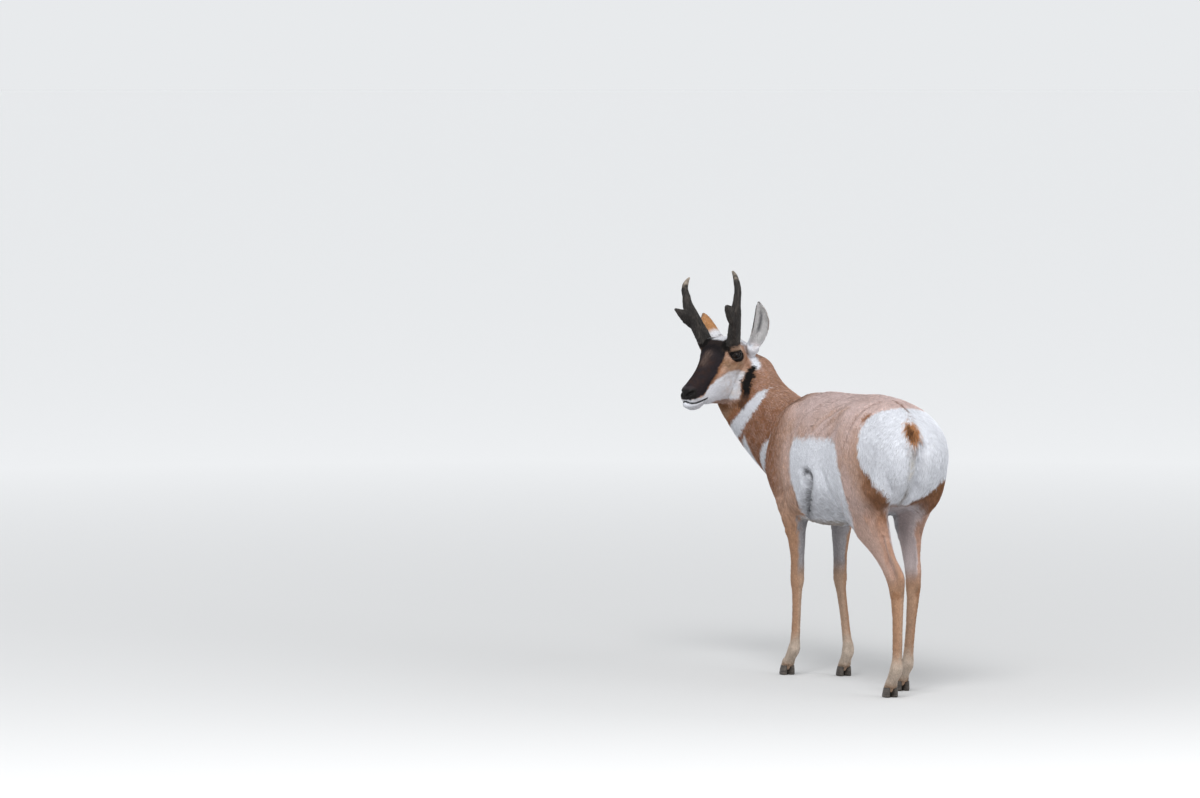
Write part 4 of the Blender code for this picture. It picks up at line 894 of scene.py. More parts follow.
def faceColour(place, colour, lumps, fine):
    shades = coatColours
    hx, hz, side = place.hx, place.hz, place.headOut
    edge = 0.0007 * lumps + 0.0009 * fine
    on = place.onJaw
    up = place.headNormals[:, 2]
    skull = soft(0.085 - side, 0.004) * soft(hx + 0.112, 0.01) * soft(hz + 0.02, 0.03) * place.onHead
    colour = over(colour, shades["tan"], np.maximum(on, skull) * (1 - place.onEar))
    # beige before and under the eye, tan cheek ridge
    beige = np.exp(-(toPath(place.headSide, [(0.046, 0.045, 0.002), (0.020, 0.055, -0.020), (-0.030, 0.060, -0.022)]) / 0.017) ** 2)
    colour = over(colour, (0.29, 0.180, 0.108), 0.80 * beige * on)
    colour = over(colour, shades["rust"], 0.30 * on * soft(fine + lumps - 0.5, 0.5) * (side > 0.03))
    # white cheek, lips and chin
    cheek = soft(table(hx, cheekTop) - hz + 2 * edge, 0.0040) * soft(hx - table(hz, cheekBack) + edge, 0.002) * on
    colour = over(colour, shades["white"], cheek)
    behind = soft(-0.010 - 0.12 * (hz + 0.05) - hx, 0.004) * cheek
    colour = over(colour, shades["shadowWhite"], 0.50 * behind)
    colour = over(colour, shades["beige"], 0.22 * cheek * soft(0.045 - hx, 0.03) * (0.7 + 0.5 * lumps + 0.4 * fine))
    colour = over(colour, shades["rust"], 0.75 * soft(-hz - 0.129 + edge, 0.003) * soft(0.062 - hx, 0.012) * on)
    # brown coat under the jaw, laid darker as painted shadow
    under = np.exp(-((toPath(place.headSide, [(-0.018, 0.070, -0.104), (-0.006, 0.050, -0.130), (0.0, 0.020, -0.150), (0.0, 0.0, -0.156)]) + edge) / 0.022) ** 2)
    colour = over(colour, shades["brown"], 0.85 * under * (1 - cheek) * (place.onEar < 0.5))
    colour = over(colour, shades["darkBrown"], 0.35 * under * (1 - cheek) * (place.onEar < 0.5))
    # dark face
    under = hz - table(hx, maskLow)
    fringe = smoothstep(-np.abs(under + 0.004), -0.016, 0) * soft(hx - 0.040, 0.01) * soft(0.125 - hx, 0.01) * on
    colour = over(colour, shades["rust"], 0.55 * fringe * (1 - cheek))
    colour = over(colour, shades["brown"], 0.60 * fringe ** 2 * (1 - cheek))
    mask = soft(under + 1.5 * edge, 0.0035) * soft(hx - 0.024, 0.004) * on
    colour = over(colour, shades["mask"], mask)
    bridge = soft(hz - table(hx, maskLow) - 0.030, 0.010) * soft(0.165 - hx, 0.02) * mask * (0.6 + 0.4 * lumps)
    colour = over(colour, shades["darkBrown"], 0.25 * bridge)
    corner = toPath(place.headSide, [(0.0195, 0.052, 0.040), (0.0200, 0.053, 0.030), (0.0170, 0.055, 0.018), (0.010, 0.057, 0.010)]) + edge
    colour = over(colour, shades["black"], 0.9 * soft(0.0070 - corner, 0.002) * place.onHead)
    forehead = soft(hx + 0.002 + edge, 0.004) * soft(0.064 - hx, 0.005) * soft(0.047 - side, 0.003) * soft(hz - 0.012, 0.006)
    colour = over(colour, shades["mask"], 0.95 * forehead * place.onHead)
    colour = over(colour, shades["black"], 0.55 * forehead * soft(hx - 0.004, 0.01) * soft(0.045 - hx, 0.01) * place.onHead)
    brow = np.exp(-((toPath(place.headSide, browBand) + edge) / 0.0125) ** 2)
    colour = over(colour, shades["brow"], 0.90 * brow * place.onHead * (0.80 + 0.35 * fine))
    # white crown behind the dark forehead, brown arcs beside it
    crown = soft(-hx + 0.001 + edge, 0.003) * soft(0.050 - side + edge, 0.004) * soft(hx + 0.085, 0.01) * soft(hz - 0.022, 0.008)
    colour = over(colour, shades["white"], 0.92 * crown * place.onHead)
    strip = np.exp(-((toPath(place.headSide, earStrip) + edge) / 0.0140) ** 4)
    colour = over(colour, shades["white"], 1.1 * strip)
    foot = np.minimum(*(np.linalg.norm(place.head - np.array(ears[side]["root"]), axis=1) for side in ears))
    colour = over(colour, shades["white"], 0.95 * soft(0.036 - foot, 0.006) * (1 - place.onEar))
    arc = np.exp(-((toPath(place.headSide, [(-0.040, 0.053, 0.047), (-0.056, 0.051, 0.036), (-0.060, 0.057, 0.022), (-0.060, 0.060, 0.008), (-0.066, 0.060, -0.012)]) + edge) / 0.0065) ** 2)
    colour = over(colour, shades["rust"], 0.75 * arc)
    arc = np.exp(-((toPath(place.headSide, [(-0.048, 0.047, 0.046), (-0.0635, 0.0445, 0.038), (-0.0680, 0.052, 0.026), (-0.0655, 0.0610, 0.015), (-0.069, 0.060, 0.002)]) + edge) / 0.0042) ** 2)
    colour = over(colour, shades["brown"], 0.80 * arc)
    # black eye skin, horn roots and the patch behind the jaw
    ex, ey, ez = pose["eyeAt"]
    rise = hz - ez + 0.0005 - 0.22 * (hx - ex)
    eye = np.hypot((hx - ex + 0.002) / 0.0350, rise / np.where(rise > 0, 0.0185, 0.0215))
    colour = over(colour, shades["black"], soft(1.02 - eye + 20 * edge, 0.06) * soft(side - 0.035, 0.004) * place.onHead)
    lidBrow = np.exp(-((toPath(place.headSide, [(-0.012, 0.064, 0.036), (-0.028, 0.062, 0.031), (-0.040, 0.058, 0.022)]) + edge) / 0.0045) ** 2)
    colour = over(colour, shades["paleLeg"], 0.75 * lidBrow * place.onHead)
    root = toPath(place.headSide, [(0.004, 0.050, 0.030), (-0.010, 0.054, 0.060)])
    outer = smoothstep(place.headNormals[:, 1] * np.sign(place.hy) - 0.8 * place.headNormals[:, 0], -0.2, 0.45)
    collar = soft(0.030 - root + edge, 0.004) * place.onHead * soft(hz - 0.026 + edge, 0.004)
    colour = over(colour, shades["black"], 0.92 * collar * (1 - outer))
    colour = over(colour, shades["browTan"], 0.70 * collar * outer)
    rim = soft(hz - skinForm["collarTop"] + 0.0055 + 0.10 * hx + 2 * edge, 0.0015) * soft(0.040 - root, 0.004) * place.onHead * (1 - place.onEar)
    colour = over(colour, shades["mask"], 0.92 * rim * (hx > -0.045) * outer)
    patch = toPath(place.headSide, throatPatch)
    half = table(hz, patchHalf)
    fade = smoothstep(-hz, 0.105, 0.150)
    colour = over(colour, shades["darkBrown"], 0.9 * soft(half + 0.003 - patch + 4 * edge, 0.005) * fade * place.onHead)
    colour = over(colour, shades["black"], soft(half - patch + 4 * edge, 0.0025) * (1 - fade) * place.onHead)
    # nose pad, nostrils and the mouth's line
    nose = soft(hx - 0.166 + 0.6 * (side - 0.010), 0.003) * soft(hz + 0.0985 - 0.10 * side, 0.0012) * soft(-0.066 - hz, 0.004)
    colour = over(colour, shades["black"], nose * on)
    depths = [np.array((0.7, 0.7, 0)) * depth for depth in (-0.004, 0, 0.004)]
    mouth = np.min([toPath(place.headSide + depth, mouthLine) for depth in depths], axis=0)
    colour = over(colour, shades["shadowWhite"], 0.35 * soft(-0.113 - hz, 0.003) * soft(hx - 0.10, 0.02) * on)
    colour = over(colour, shades["black"], 0.97 * soft(0.0032 - mouth, 0.0008) * on)
    return colour


def earColour(place, colour):
    shades = coatColours
    for side, (t, across, inside, on) in zip(("left", "right"), place.ears):
        hand = 1 if side == "left" else -1
        foot = np.linalg.norm(place.head - np.array(ears[side]["root"]), axis=1)
        colour = over(colour, shades["white"], soft(0.034 - foot, 0.006))
        colour = over(colour, (0.47, 0.235, 0.105), on * (1 - inside))
        colour = over(colour, shades["white"], 0.90 * on * (1 - inside) * soft(0.27 - t, 0.08))
        colour = over(colour, (0.66, 0.65, 0.65), on * inside)
        streak = np.exp(-((across + 0.05) / 0.22) ** 2) * smoothstep(t, 0.10, 0.35) * (1 - smoothstep(t, 0.62, 0.88))
        colour = over(colour, shades["earGrey"], 0.88 * streak * on * inside)
        rim = smoothstep(np.abs(across), 0.80, 0.93) * smoothstep(t, 0.25, 0.45)
        colour = over(colour, shades["mask"], 0.9 * rim * on * (across * hand < 0))
        colour = over(colour, shades["brown"], 0.65 * rim * on * (across * hand > 0))
        colour = over(colour, shades["mask"], 0.85 * on * smoothstep(t, 0.90, 0.98))
    return colour


# ---- folds and small forms that the solids leave out ----

foldStrokes = [    # radius, push, both sides or not, and path in the body's frame
    (0.060, 0.0060, True, [(0.090, -0.235, 0.825), (0.126, -0.285, 0.735), (0.130, -0.310, 0.650)]),
    (0.036, -0.0050, True, [(0.137, -0.185, 0.765), (0.148, -0.165, 0.700), (0.146, -0.150, 0.640)]),
    (0.022, 0.0050, True, [(0.130, -0.140, 0.575), (0.121, -0.160, 0.538)]),
    (0.028, 0.0040, True, [(0.118, -0.255, 0.540), (0.104, -0.240, 0.455)]),
    (0.016, -0.0030, True, [(0.128, -0.215, 0.600), (0.118, -0.200, 0.540), (0.104, -0.205, 0.470)]),
    (0.022, -0.0040, True, [(0.040, -0.350, 0.850), (0.090, -0.330, 0.805), (0.119, -0.308, 0.755), (0.118, -0.300, 0.720)]),
    (0.020, -0.0030, True, [(0.060, -0.240, 0.862), (0.105, -0.262, 0.800), (0.129, -0.275, 0.735)]),
    (0.022, 0.0030, True, [(0.050, -0.300, 0.862), (0.100, -0.296, 0.800), (0.126, -0.290, 0.745)]),
    (0.024, -0.0030, True, [(0.105, 0.245, 0.800), (0.140, 0.238, 0.730), (0.145, 0.245, 0.660), (0.130, 0.272, 0.585), (0.115, 0.290, 0.530)]),
    (0.0105, -0.0056, True, [(0.054, 0.303, 0.875), (0.075, 0.299, 0.865), (0.100, 0.296, 0.844), (0.122, 0.287, 0.814), (0.140, 0.282, 0.778), (0.147, 0.270, 0.735), (0.149, 0.262, 0.690), (0.138, 0.250, 0.643), (0.136, 0.260, 0.608), (0.131, 0.278, 0.570)]),
    (0.022, 0.0050, True, [(0.095, 0.318, 0.848), (0.120, 0.312, 0.812), (0.142, 0.304, 0.770), (0.150, 0.294, 0.720), (0.146, 0.285, 0.660), (0.138, 0.292, 0.600)]),
    (0.0150, -0.0140, False, armpitLine[:7]),
    (0.0130, -0.0110, False, armpitLine[6:8]),
    (0.0080, -0.0060, False, armpitLine[4:]),
    (0.0150, -0.0140 * armpitRight, False, [(-x, y, z) for x, y, z in armpitLine]),
    (0.024, 0.0065, True, [(0.150, -0.025, 0.640), (0.147, -0.018, 0.605), (0.136, -0.050, 0.565), (0.114, -0.112, 0.530)]),
    (0.0120, 0.0034, True, [(0.132, -0.015, 0.765), (0.118, 0.030, 0.805), (0.098, 0.070, 0.840), (0.074, 0.125, 0.868)]),
    (0.0120, 0.0034, True, [(0.134, 0.028, 0.766), (0.117, 0.074, 0.801), (0.100, 0.126, 0.835), (0.086, 0.185, 0.861)]),
    (0.024, 0.0050, True, [(0.150, 0.075, 0.650), (0.145, 0.080, 0.600), (0.130, 0.040, 0.545)]),
    (0.020, -0.0040, True, [(0.148, 0.110, 0.660), (0.142, 0.140, 0.600), (0.125, 0.175, 0.545)]),
    (0.018, 0.0035, True, [(0.146, 0.165, 0.640), (0.135, 0.190, 0.585), (0.110, 0.220, 0.530)]),
    (0.014, -0.0035, True, [(0.125, 0.060, 0.535), (0.115, 0.110, 0.520), (0.095, 0.150, 0.505)]),
    (0.018, -0.0065, False, [(0.019, 0.512, 0.720), (0.024, 0.508, 0.680), (0.024, 0.480, 0.625), (0.018, 0.430, 0.590)]),
    (0.034, 0.0060, False, [(0.060, 0.500, 0.720), (0.062, 0.480, 0.650)]),
    (0.034, 0.0060, False, [(-0.022, 0.505, 0.720), (-0.024, 0.485, 0.650)]),
    (0.0100, -0.0075, False, [(0.077, 0.410, 0.480), (0.077, 0.424, 0.450), (0.072, 0.440, 0.408), (0.067, 0.462, 0.380), (0.067, 0.472, 0.366)]),
    (0.0100, -0.0075, False, [(-0.077, 0.348, 0.480), (-0.077, 0.352, 0.450), (-0.072, 0.346, 0.408), (-0.067, 0.348, 0.380), (-0.067, 0.350, 0.366)]),
    (0.013, -0.0035, False, [(0.110, 0.440, 0.700), (0.088, 0.468, 0.655), (0.066, 0.462, 0.612)]),
    (0.013, -0.0030, False, [(-0.082, 0.462, 0.700), (-0.062, 0.475, 0.650), (-0.040, 0.460, 0.612)]),
    (0.012, -0.0030, True, [(0.135, 0.330, 0.560), (0.125, 0.345, 0.510), (0.100, 0.390, 0.450)]),
    (0.014, 0.0030, True, [(0.118, 0.350, 0.540), (0.105, 0.385, 0.480), (0.090, 0.420, 0.420)]),
]
faceStrokes = [    # the same in the head's frame
    (0.036, 0.0060, True, [(0.048, 0.036, -0.076), (0.022, 0.040, -0.090), (0.010, 0.034, -0.108)]),
    (0.016, -0.0016, True, [(-0.0253, 0.0623, -0.0730), (-0.0099, 0.0488, -0.0966), (0.0005, 0.0315, -0.1185)]),
    (0.015, 0.0070, True, [(-0.086, 0.064, 0.004), (-0.0925, 0.0595, -0.0106), (-0.0895, 0.0655, -0.0200)]),
    (0.010, 0.0014, True, [(0.030, 0.052, 0.024), (0.004, 0.062, 0.032), (-0.030, 0.060, 0.026), (-0.044, 0.055, 0.012)]),
    (0.006, -0.0012, True, [(0.022, 0.056, 0.013), (0.036, 0.048, 0.002), (0.044, 0.044, -0.010)]),
    (0.007, -0.0010, True, [(0.012, 0.060, -0.012), (-0.014, 0.064, -0.018), (-0.038, 0.060, -0.010)]),
    (0.012, 0.0018, True, [(0.070, 0.036, -0.045), (0.030, 0.050, -0.030), (-0.010, 0.062, -0.032)]),
    (0.0055, -0.0030, True, [(0.1835, 0.0075, -0.0880), (0.1800, 0.0135, -0.0815), (0.1690, 0.0190, -0.0780)]),
    (0.0045, 0.0012, True, [(0.1870, 0.0090, -0.0935), (0.1790, 0.0170, -0.0890), (0.1690, 0.0215, -0.0850)]),
    (0.0035, -0.0016, False, [(0.1880, 0.0, -0.086), (0.1870, 0.0, -0.102)]),
    (0.024, 0.0055, False, [(0.170, 0.0, -0.122), (0.145, 0.0, -0.133), (0.112, 0.0, -0.137)]),
    (0.0085, 0.0022, True, [(0.182, 0.0, -0.1150), (0.174, 0.012, -0.1180), (0.155, 0.020, -0.1200), (0.130, 0.022, -0.1190)]),
    (0.0065, 0.0012, True, [(0.187, 0.0, -0.0990), (0.180, 0.0115, -0.1010), (0.160, 0.022, -0.1050), (0.135, 0.0245, -0.1050)]),
    (0.0042, -0.0040, True, [(0.187, 0.0, -0.1035), (0.181, 0.0065, -0.1070), (0.171, 0.0155, -0.1112), (0.157, 0.0215, -0.1130), (0.138, 0.0235, -0.1125), (0.117, 0.0240, -0.1110), (0.104, 0.0265, -0.1090)]),
]


legLines = {    # grooves beside the tendons, on the outer and inner face of each leg
    "radius": 0.0065,
    "push": -0.0022,
    "out": 0.014,
    "back": 0.006,
}


def tendonStrokes():
    heights = np.array((0.29, 0.24, 0.19, 0.14))
    strokes = []
    for isFore in (True, False):
        for hand in (1, -1):
            place = lambda: None
            place.x, place.z = np.full(len(heights), float(hand)), heights
            x, y = legMiddle(place, isFore)
            for face in (1, -1):
                path = list(zip(x + face * legLines["out"], y + legLines["back"], heights))
                strokes.append((legLines["radius"], legLines["push"], False, path))
    return strokes


def sculptFolds(mesh):
    points = pointsOf(mesh)
    normals = normalsOf(mesh)
    body = inBody(points)
    head = inHead(points)
    belly = soft(0.585 - body[:, 2], 0.02) * soft(body[:, 2] - 0.45, 0.01) * soft(body[:, 1] + 0.30, 0.05) * soft(0.27 - body[:, 1], 0.03)
    lift = 0.0016 * belly * (wander(body, 0.030, 41) + 0.7 * wander(body, 0.016, 42))
    wrinkles = [(0.0090, -0.0036, True, path) for path in backFolds]
    for places, strokes, axis in ((body, foldStrokes + wrinkles + tendonStrokes(), 0), (head, faceStrokes, 1)):
        for radius, push, twice, path in strokes:
            for hand in (1, -1) if twice else (1,):
                flip = np.ones(3)
                flip[axis] = hand
                far = toPath(places * flip, path) / radius
                lift += push * np.where(far < 1, (1 - np.minimum(far, 1) ** 2) ** 2, 0)
    setPoints(mesh, points + normals * lift[:, None])


# ---- eyelids ----

lids = {
    "halfLength": 0.0208,
    "upperHeight": 0.0118,
    "lowerHeight": 0.0098,
    "slant": 10,             # degrees that the inner corner is lower
    "stand": 0.0013,         # the lid's edge above the eyeball
    "edgeGirth": 0.0012,
}


def eyeAxes(hand):
    ahead = radians(pose["eyeAhead"])
    look = np.array((sin(ahead), hand * cos(ahead), 0))
    forth = np.array((cos(ahead), -hand * sin(ahead), 0))
    up = np.array((0, 0, 1.0))
    slant = radians(lids["slant"])
    along = forth * cos(slant) - up * sin(slant)
    rise = up * cos(slant) + forth * sin(slant)
    x, y, z = pose["eyeAt"]
    return np.array((x, hand * y, z)), look, along, rise


def lidHeight(u, upper):    # the almond's half height at u along it
    full = lids["upperHeight"] if upper else lids["lowerHeight"]
    return full * np.clip(1 - (np.abs(u) / lids["halfLength"]) ** 2.1, 0, 1)


def shapeLids(bm):
    radius = pose["eyeRadius"]
    for hand in (1, -1):
        centre, look, along, rise = eyeAxes(hand)
        middle = fromHead(centre + look * radius)
        near = [face for face in bm.faces if (face.calc_center_median() - Vector(middle)).length < 0.031]
        edges = list({edge for face in near for edge in face.edges})
        bmesh.ops.subdivide_edges(bm, edges=edges, cuts=1, use_grid_fill=False)
        bmesh.ops.triangulate(bm, faces=[face for face in bm.faces if len(face.verts) > 4])
    bm.verts.ensure_lookup_table()
    points = np.array([vertex.co for vertex in bm.verts])
    local = inHead(points)
    for hand in (1, -1):
        centre, look, along, rise = eyeAxes(hand)
        offset = local - centre
        far = np.linalg.norm(offset, axis=1)
        u, v, depth = offset @ along, offset @ rise, offset @ look
        height = np.where(v > 0, lidHeight(u, True), lidHeight(u, False))
        beyond = np.maximum(np.abs(u) - lids["halfLength"], 0)
        inside = np.where(beyond > 0, -np.hypot(beyond, v), height - np.abs(v))
        front = (depth > 0.004) & (far < 0.045)
        opened = front & (inside > 0)
        lidded = front & (inside <= 0)
        away = np.clip(-inside, 0, 0.02)
        least = radius + lids["stand"] + 0.0012 * smoothstep(away, 0, 0.006) - 0.006 * smoothstep(away, 0.009, 0.02)
        goal = np.where(lidded, np.maximum(far, least), far)
        margin = lidded & (away < 0.004)
        goal = np.where(margin, least + (np.maximum(far, least) - least) * smoothstep(away, 0, 0.004), goal)
        goal = np.where(opened, radius - 0.003 - 0.15 * np.clip(inside, 0, 0.01), goal)
        goal = far + (goal - far) * smoothstep(depth, 0.001, 0.012)
        change = opened | lidded
        local[change] = (centre + offset * (goal / far)[:, None])[change]
    for vertex, place in zip(bm.verts, fromHead(local)):
        vertex.co = place


def makeLidEdges():    # a dark wet edge round each eye
    for side, hand in (("left", 1), ("right", -1)):
        centre, look, along, rise = eyeAxes(hand)
        radius = pose["eyeRadius"] + lids["stand"] - 0.0003
        rows = []
        for angle in np.linspace(0, tau, 73)[:-1]:
            u = lids["halfLength"] * cos(angle)
            v = sin(angle)
            v = lidHeight(u, v > 0) * (1 if v > 0 else -1)
            depth = np.sqrt(radius**2 - u * u - v * v)
            rows.append(centre + along * u + rise * v + look * depth)
        rows = np.array(rows)
        girth = lids["edgeGirth"]
        bm = bmesh.new()
        loops = []
        for i, place in enumerate(rows):
            run = rows[(i + 1) % len(rows)] - rows[i - 1]
            run /= np.linalg.norm(run)
            out = (place - centre) / np.linalg.norm(place - centre)
            across = np.cross(run, out)
            loop = []
            for turn in np.arange(8) * tau / 8:
                loop.append(bm.verts.new(fromHead(place + girth * (cos(turn) * out + 1.3 * sin(turn) * across))))
            loops.append(loop)
        for i, loop in enumerate(loops):
            after = loops[(i + 1) % len(loops)]
            for k in range(8):
                bm.faces.new((loop[k], loop[(k + 1) % 8], after[(k + 1) % 8], after[k]))
        bmesh.ops.recalc_face_normals(bm, faces=bm.faces)
        mesh = bpy.data.meshes.new(side + "EyelidEdge")
        bm.to_mesh(mesh)
        bm.free()
        mesh.shade_smooth()
        made = addObject(side + "EyelidEdge", mesh)
        mesh.materials.append(wetBlack)
        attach(made, "root")


# ---- how long, wide and deep the coat is ----

coatLengths = {    # length, width and lift of the tufts, and how many lie over one another
    "body": (0.016, 0.00125, 0.0017, 0.80),
    "neck": (0.0125, 0.00110, 0.0015, 0.95),
    "nape": (0.019, 0.00120, 0.0028, 1.10),
    "belly": (0.021, 0.00130, 0.0030, 0.95),
    "rump": (0.019, 0.00120, 0.0026, 1.75),
    "tail": (0.031, 0.00125, 0.0065, 2.60),
    "leg": (0.0085, 0.00085, 0.0008, 0.50),
    "coronet": (0.012, 0.00100, 0.0014, 0.90),
    "head": (0.0070, 0.00074, 0.0008, 0.90),
    "muzzle": (0.0040, 0.00056, 0.0004, 0.60),
    "ear": (0.0070, 0.00075, 0.0007, 0.90),
    "cup": (0.0130, 0.00080, 0.0016, 1.20),
}


def coatShape(place):
    made = np.tile(np.array(coatLengths["body"]), (len(place.points), 1))

    def blend(kind, weight):
        made[:] += (np.array(coatLengths[kind]) - made) * np.clip(weight, 0, 1)[:, None]

    blend("belly", smoothstep(-place.normals[:, 2], 0.2, 0.7) * soft(0.60 - place.z, 0.03) * soft(place.z - 0.44, 0.02))
    blend("rump", soft(place.y - table(place.z, rumpFront), 0.02) * soft(place.z - 0.58, 0.02) * (place.y > 0.3))
    tail = np.hypot(place.x - 0.016, (place.z - 0.775) * 0.6)
    blend("tail", soft(0.026 - tail, 0.008) * (place.y > 0.42))
    blend("neck", place.onNeck)
    blend("nape", place.onNeck * smoothstep(np.abs(place.round), 130, 165))
    blend("leg", soft(0.50 - place.z, 0.08))
    blend("coronet", soft(0.050 - place.z, 0.012))
    blend("head", place.onHead * soft(0.115 - place.headOut, 0.02))
    blend("muzzle", place.onJaw * smoothstep(place.hx, 0.07, 0.14))
    inCup = np.maximum(place.ears[0][2] * place.ears[0][3], place.ears[1][2] * place.ears[1][3])
    blend("ear", place.onEar)
    blend("cup", place.onEar * inCup)
    length, width, lift, layers = made.T
    density = layers / (length * width)
    eye = place.headSide - np.array(pose["eyeAt"])
    clear = np.hypot(eye[:, 0] / 0.0205, eye[:, 2] / 0.0135)
    density = density * (1 - soft(1 - clear, 0.05) * (place.headOut > 0.03) * place.onHead)
    nose = soft(place.hx - 0.166 + 0.6 * (place.headOut - 0.010), 0.002) * soft(place.hz + 0.0985 - 0.10 * place.headOut, 0.0012)
    density *= 1 - nose * place.onJaw
    density *= 1 - soft(0.0048 - toPath(place.headSide, mouthLine), 0.0006) * place.onJaw
    density *= place.z > 0.031
    return length, width, lift, density


# ---- the lie of the coat ----

headLie = [    # place and direction in the head's frame; each is also used mirrored
    ((0.180, 0.0, -0.070), (-1, 0, 0.5)), ((0.150, 0.0, -0.050), (-1, 0, 0.6)), ((0.100, 0.0, -0.010), (-1, 0, 0.6)),
    ((0.150, 0.026, -0.090), (-1, 0.1, 0.05)), ((0.100, 0.030, -0.060), (-1, 0.15, 0.05)),
    ((0.120, 0.028, -0.110), (-1, 0.1, -0.10)), ((0.060, 0.038, -0.080), (-1, 0.2, -0.20)),
    ((0.050, 0.040, -0.020), (-1, 0.3, -0.15)), ((0.030, 0.055, -0.050), (-0.9, 0.1, -0.35)),
    ((0.000, 0.055, -0.080), (-0.9, 0.0, -0.45)), ((0.000, 0.045, -0.130), (-1, 0.0, -0.30)),
    ((-0.040, 0.055, -0.080), (-0.8, 0.2, -0.60)), ((0.050, 0.000, 0.028), (-1, 0, 0.6)),
    ((0.000, 0.000, 0.056), (-1, 0, 0.2)), ((-0.050, 0.000, 0.056), (-1, 0, -0.2)), ((-0.100, 0.000, 0.035), (-0.7, 0, -0.7)),
    ((0.010, 0.052, 0.030), (-0.9, 0.3, 0.3)), ((-0.040, 0.060, 0.020), (-1, 0.1, -0.1)),
    ((-0.020, 0.064, -0.025), (-1, 0.0, -0.25)), ((-0.070, 0.060, -0.020), (-0.7, 0.2, -0.7)),
    ((-0.090, 0.075, 0.000), (-0.3, 0.2, -0.95)), ((0.140, 0.0, -0.135), (-1, 0, -0.1)), ((0.060, 0.0, -0.140), (-1, 0, -0.2)),
]
bodyLie = [    # the same in the body's frame
    ((0.0, -0.250, 0.885), (0, 1, -0.10)), ((0.0, 0.000, 0.885), (0, 1, 0)), ((0.0, 0.250, 0.890), (0, 1, -0.05)),
    ((0.0, 0.380, 0.875), (0, 1, -0.40)), ((0.120, -0.200, 0.820), (0.1, 0.75, -0.65)),
    ((0.145, -0.150, 0.700), (0, 0.55, -0.85)), ((0.130, -0.250, 0.720), (0, 0.45, -0.90)),
    ((0.110, -0.330, 0.650), (0, 0.35, -0.95)), ((0.0, -0.440, 0.640), (0, 0.35, -0.95)), ((0.0, -0.360, 0.530), (0, 0.8, -0.5)),
    ((0.148, 0.000, 0.800), (0, 0.80, -0.55)), ((0.152, 0.000, 0.680), (0, 0.75, -0.65)), ((0.140, 0.000, 0.570), (-0.1, 0.70, -0.65)),
    ((0.145, 0.150, 0.800), (0, 0.85, -0.50)), ((0.145, 0.150, 0.680), (0, 0.75, -0.65)), ((0.130, 0.150, 0.570), (-0.2, 0.75, -0.60)),
    ((0.0, -0.150, 0.490), (0, 1, 0)), ((0.0, 0.100, 0.485), (0, 1, 0)), ((0.070, 0.100, 0.500), (0, 1, -0.15)), ((0.0, 0.280, 0.540), (0, 1, 0.4)),
    ((0.120, 0.280, 0.840), (0.2, 0.85, -0.50)), ((0.150, 0.290, 0.740), (0.05, 0.65, -0.75)), ((0.150, 0.330, 0.640), (0, 0.35, -0.95)),
    ((0.110, 0.430, 0.620), (-0.05, 0.15, -1)), ((0.120, 0.360, 0.540), (0, 0.35, -0.95)), ((0.110, -0.230, 0.560), (0, 0.1, -1)),
    ((0.060, 0.420, 0.855), (0.55, 0.60, -0.30)), ((0.090, 0.440, 0.800), (0.70, 0.15, -0.50)), ((0.110, 0.440, 0.730), (0.55, -0.05, -0.80)),
    ((0.100, 0.470, 0.670), (0.15, -0.1, -1)), ((0.060, 0.500, 0.700), (0.25, 0.0, -1)), ((0.050, 0.500, 0.780), (0.75, 0.1, -0.65)),
    ((0.020, 0.510, 0.720), (0.12, 0.0, -1)), ((0.030, 0.470, 0.620), (0.0, -0.3, -1)), ((0.0, 0.500, 0.800), (0, 0.35, -0.95)),
    ((0.025, 0.490, 0.825), (0.6, 0.3, -0.5)), ((0.0, 0.505, 0.760), (0, 0.15, -1)),
]


def gatherLie():
    places, ways = [], []
    for rows, matrix, axis in ((headLie, headToRow, 1), (bodyLie, None, 0)):
        for place, way in rows:
            for hand in (1, -1):
                if hand < 0 and place[axis] == 0:
                    continue
                flip = np.ones(3)
                flip[axis] = hand
                place_, way_ = np.array(place) * flip, np.array(way, float) * flip
                places.append(fromBody(place_) if matrix is None else fromHead(place_))
                ways.append(way_ if matrix is None else matrix[:3, :3] @ way_)
    for step in range(10, 44, 3):
        places.append(fromBody(neckCentres[step]))
        ways.append(-neckRuns[step])
    ways = np.array(ways)
    return np.array(places), ways / np.linalg.norm(ways, axis=1)[:, None]


def lieAt(place):
    places, ways = gatherLie()
    total = np.zeros((len(place.points), 3))
    for each, way in zip(places, ways):
        far = ((place.points - each) ** 2).sum(1)
        total += way * (1 / (far + 0.0008) ** 2)[:, None]
    total /= np.linalg.norm(total, axis=1)[:, None]
    leg = soft(0.49 - place.z, 0.06)[:, None]
    total += (np.array((0, 0.12, -1.0)) - total) * leg
    for side, (t, across, inside, on) in zip(("left", "right"), place.ears):
        root, up, opening, outward, length = earAxes(side)
        way = headToRow[:3, :3] @ up
        spread = (headToRow[:3, :3] @ outward) * np.clip(across, -1, 1)[:, None]
        total += (way + 0.5 * spread * (inside * 1.0)[:, None] - total) * on[:, None]
    bend = np.stack([wander(place.points, 0.030, seed) for seed in (11, 12, 13)], 1)
    total += 0.13 * bend
    normals = place.normals
    total -= normals * (total * normals).sum(1)[:, None]
    return total / np.maximum(np.linalg.norm(total, axis=1), 1e-6)[:, None]


# ---- where each tuft's patch lies on an unwrap of the skin ----

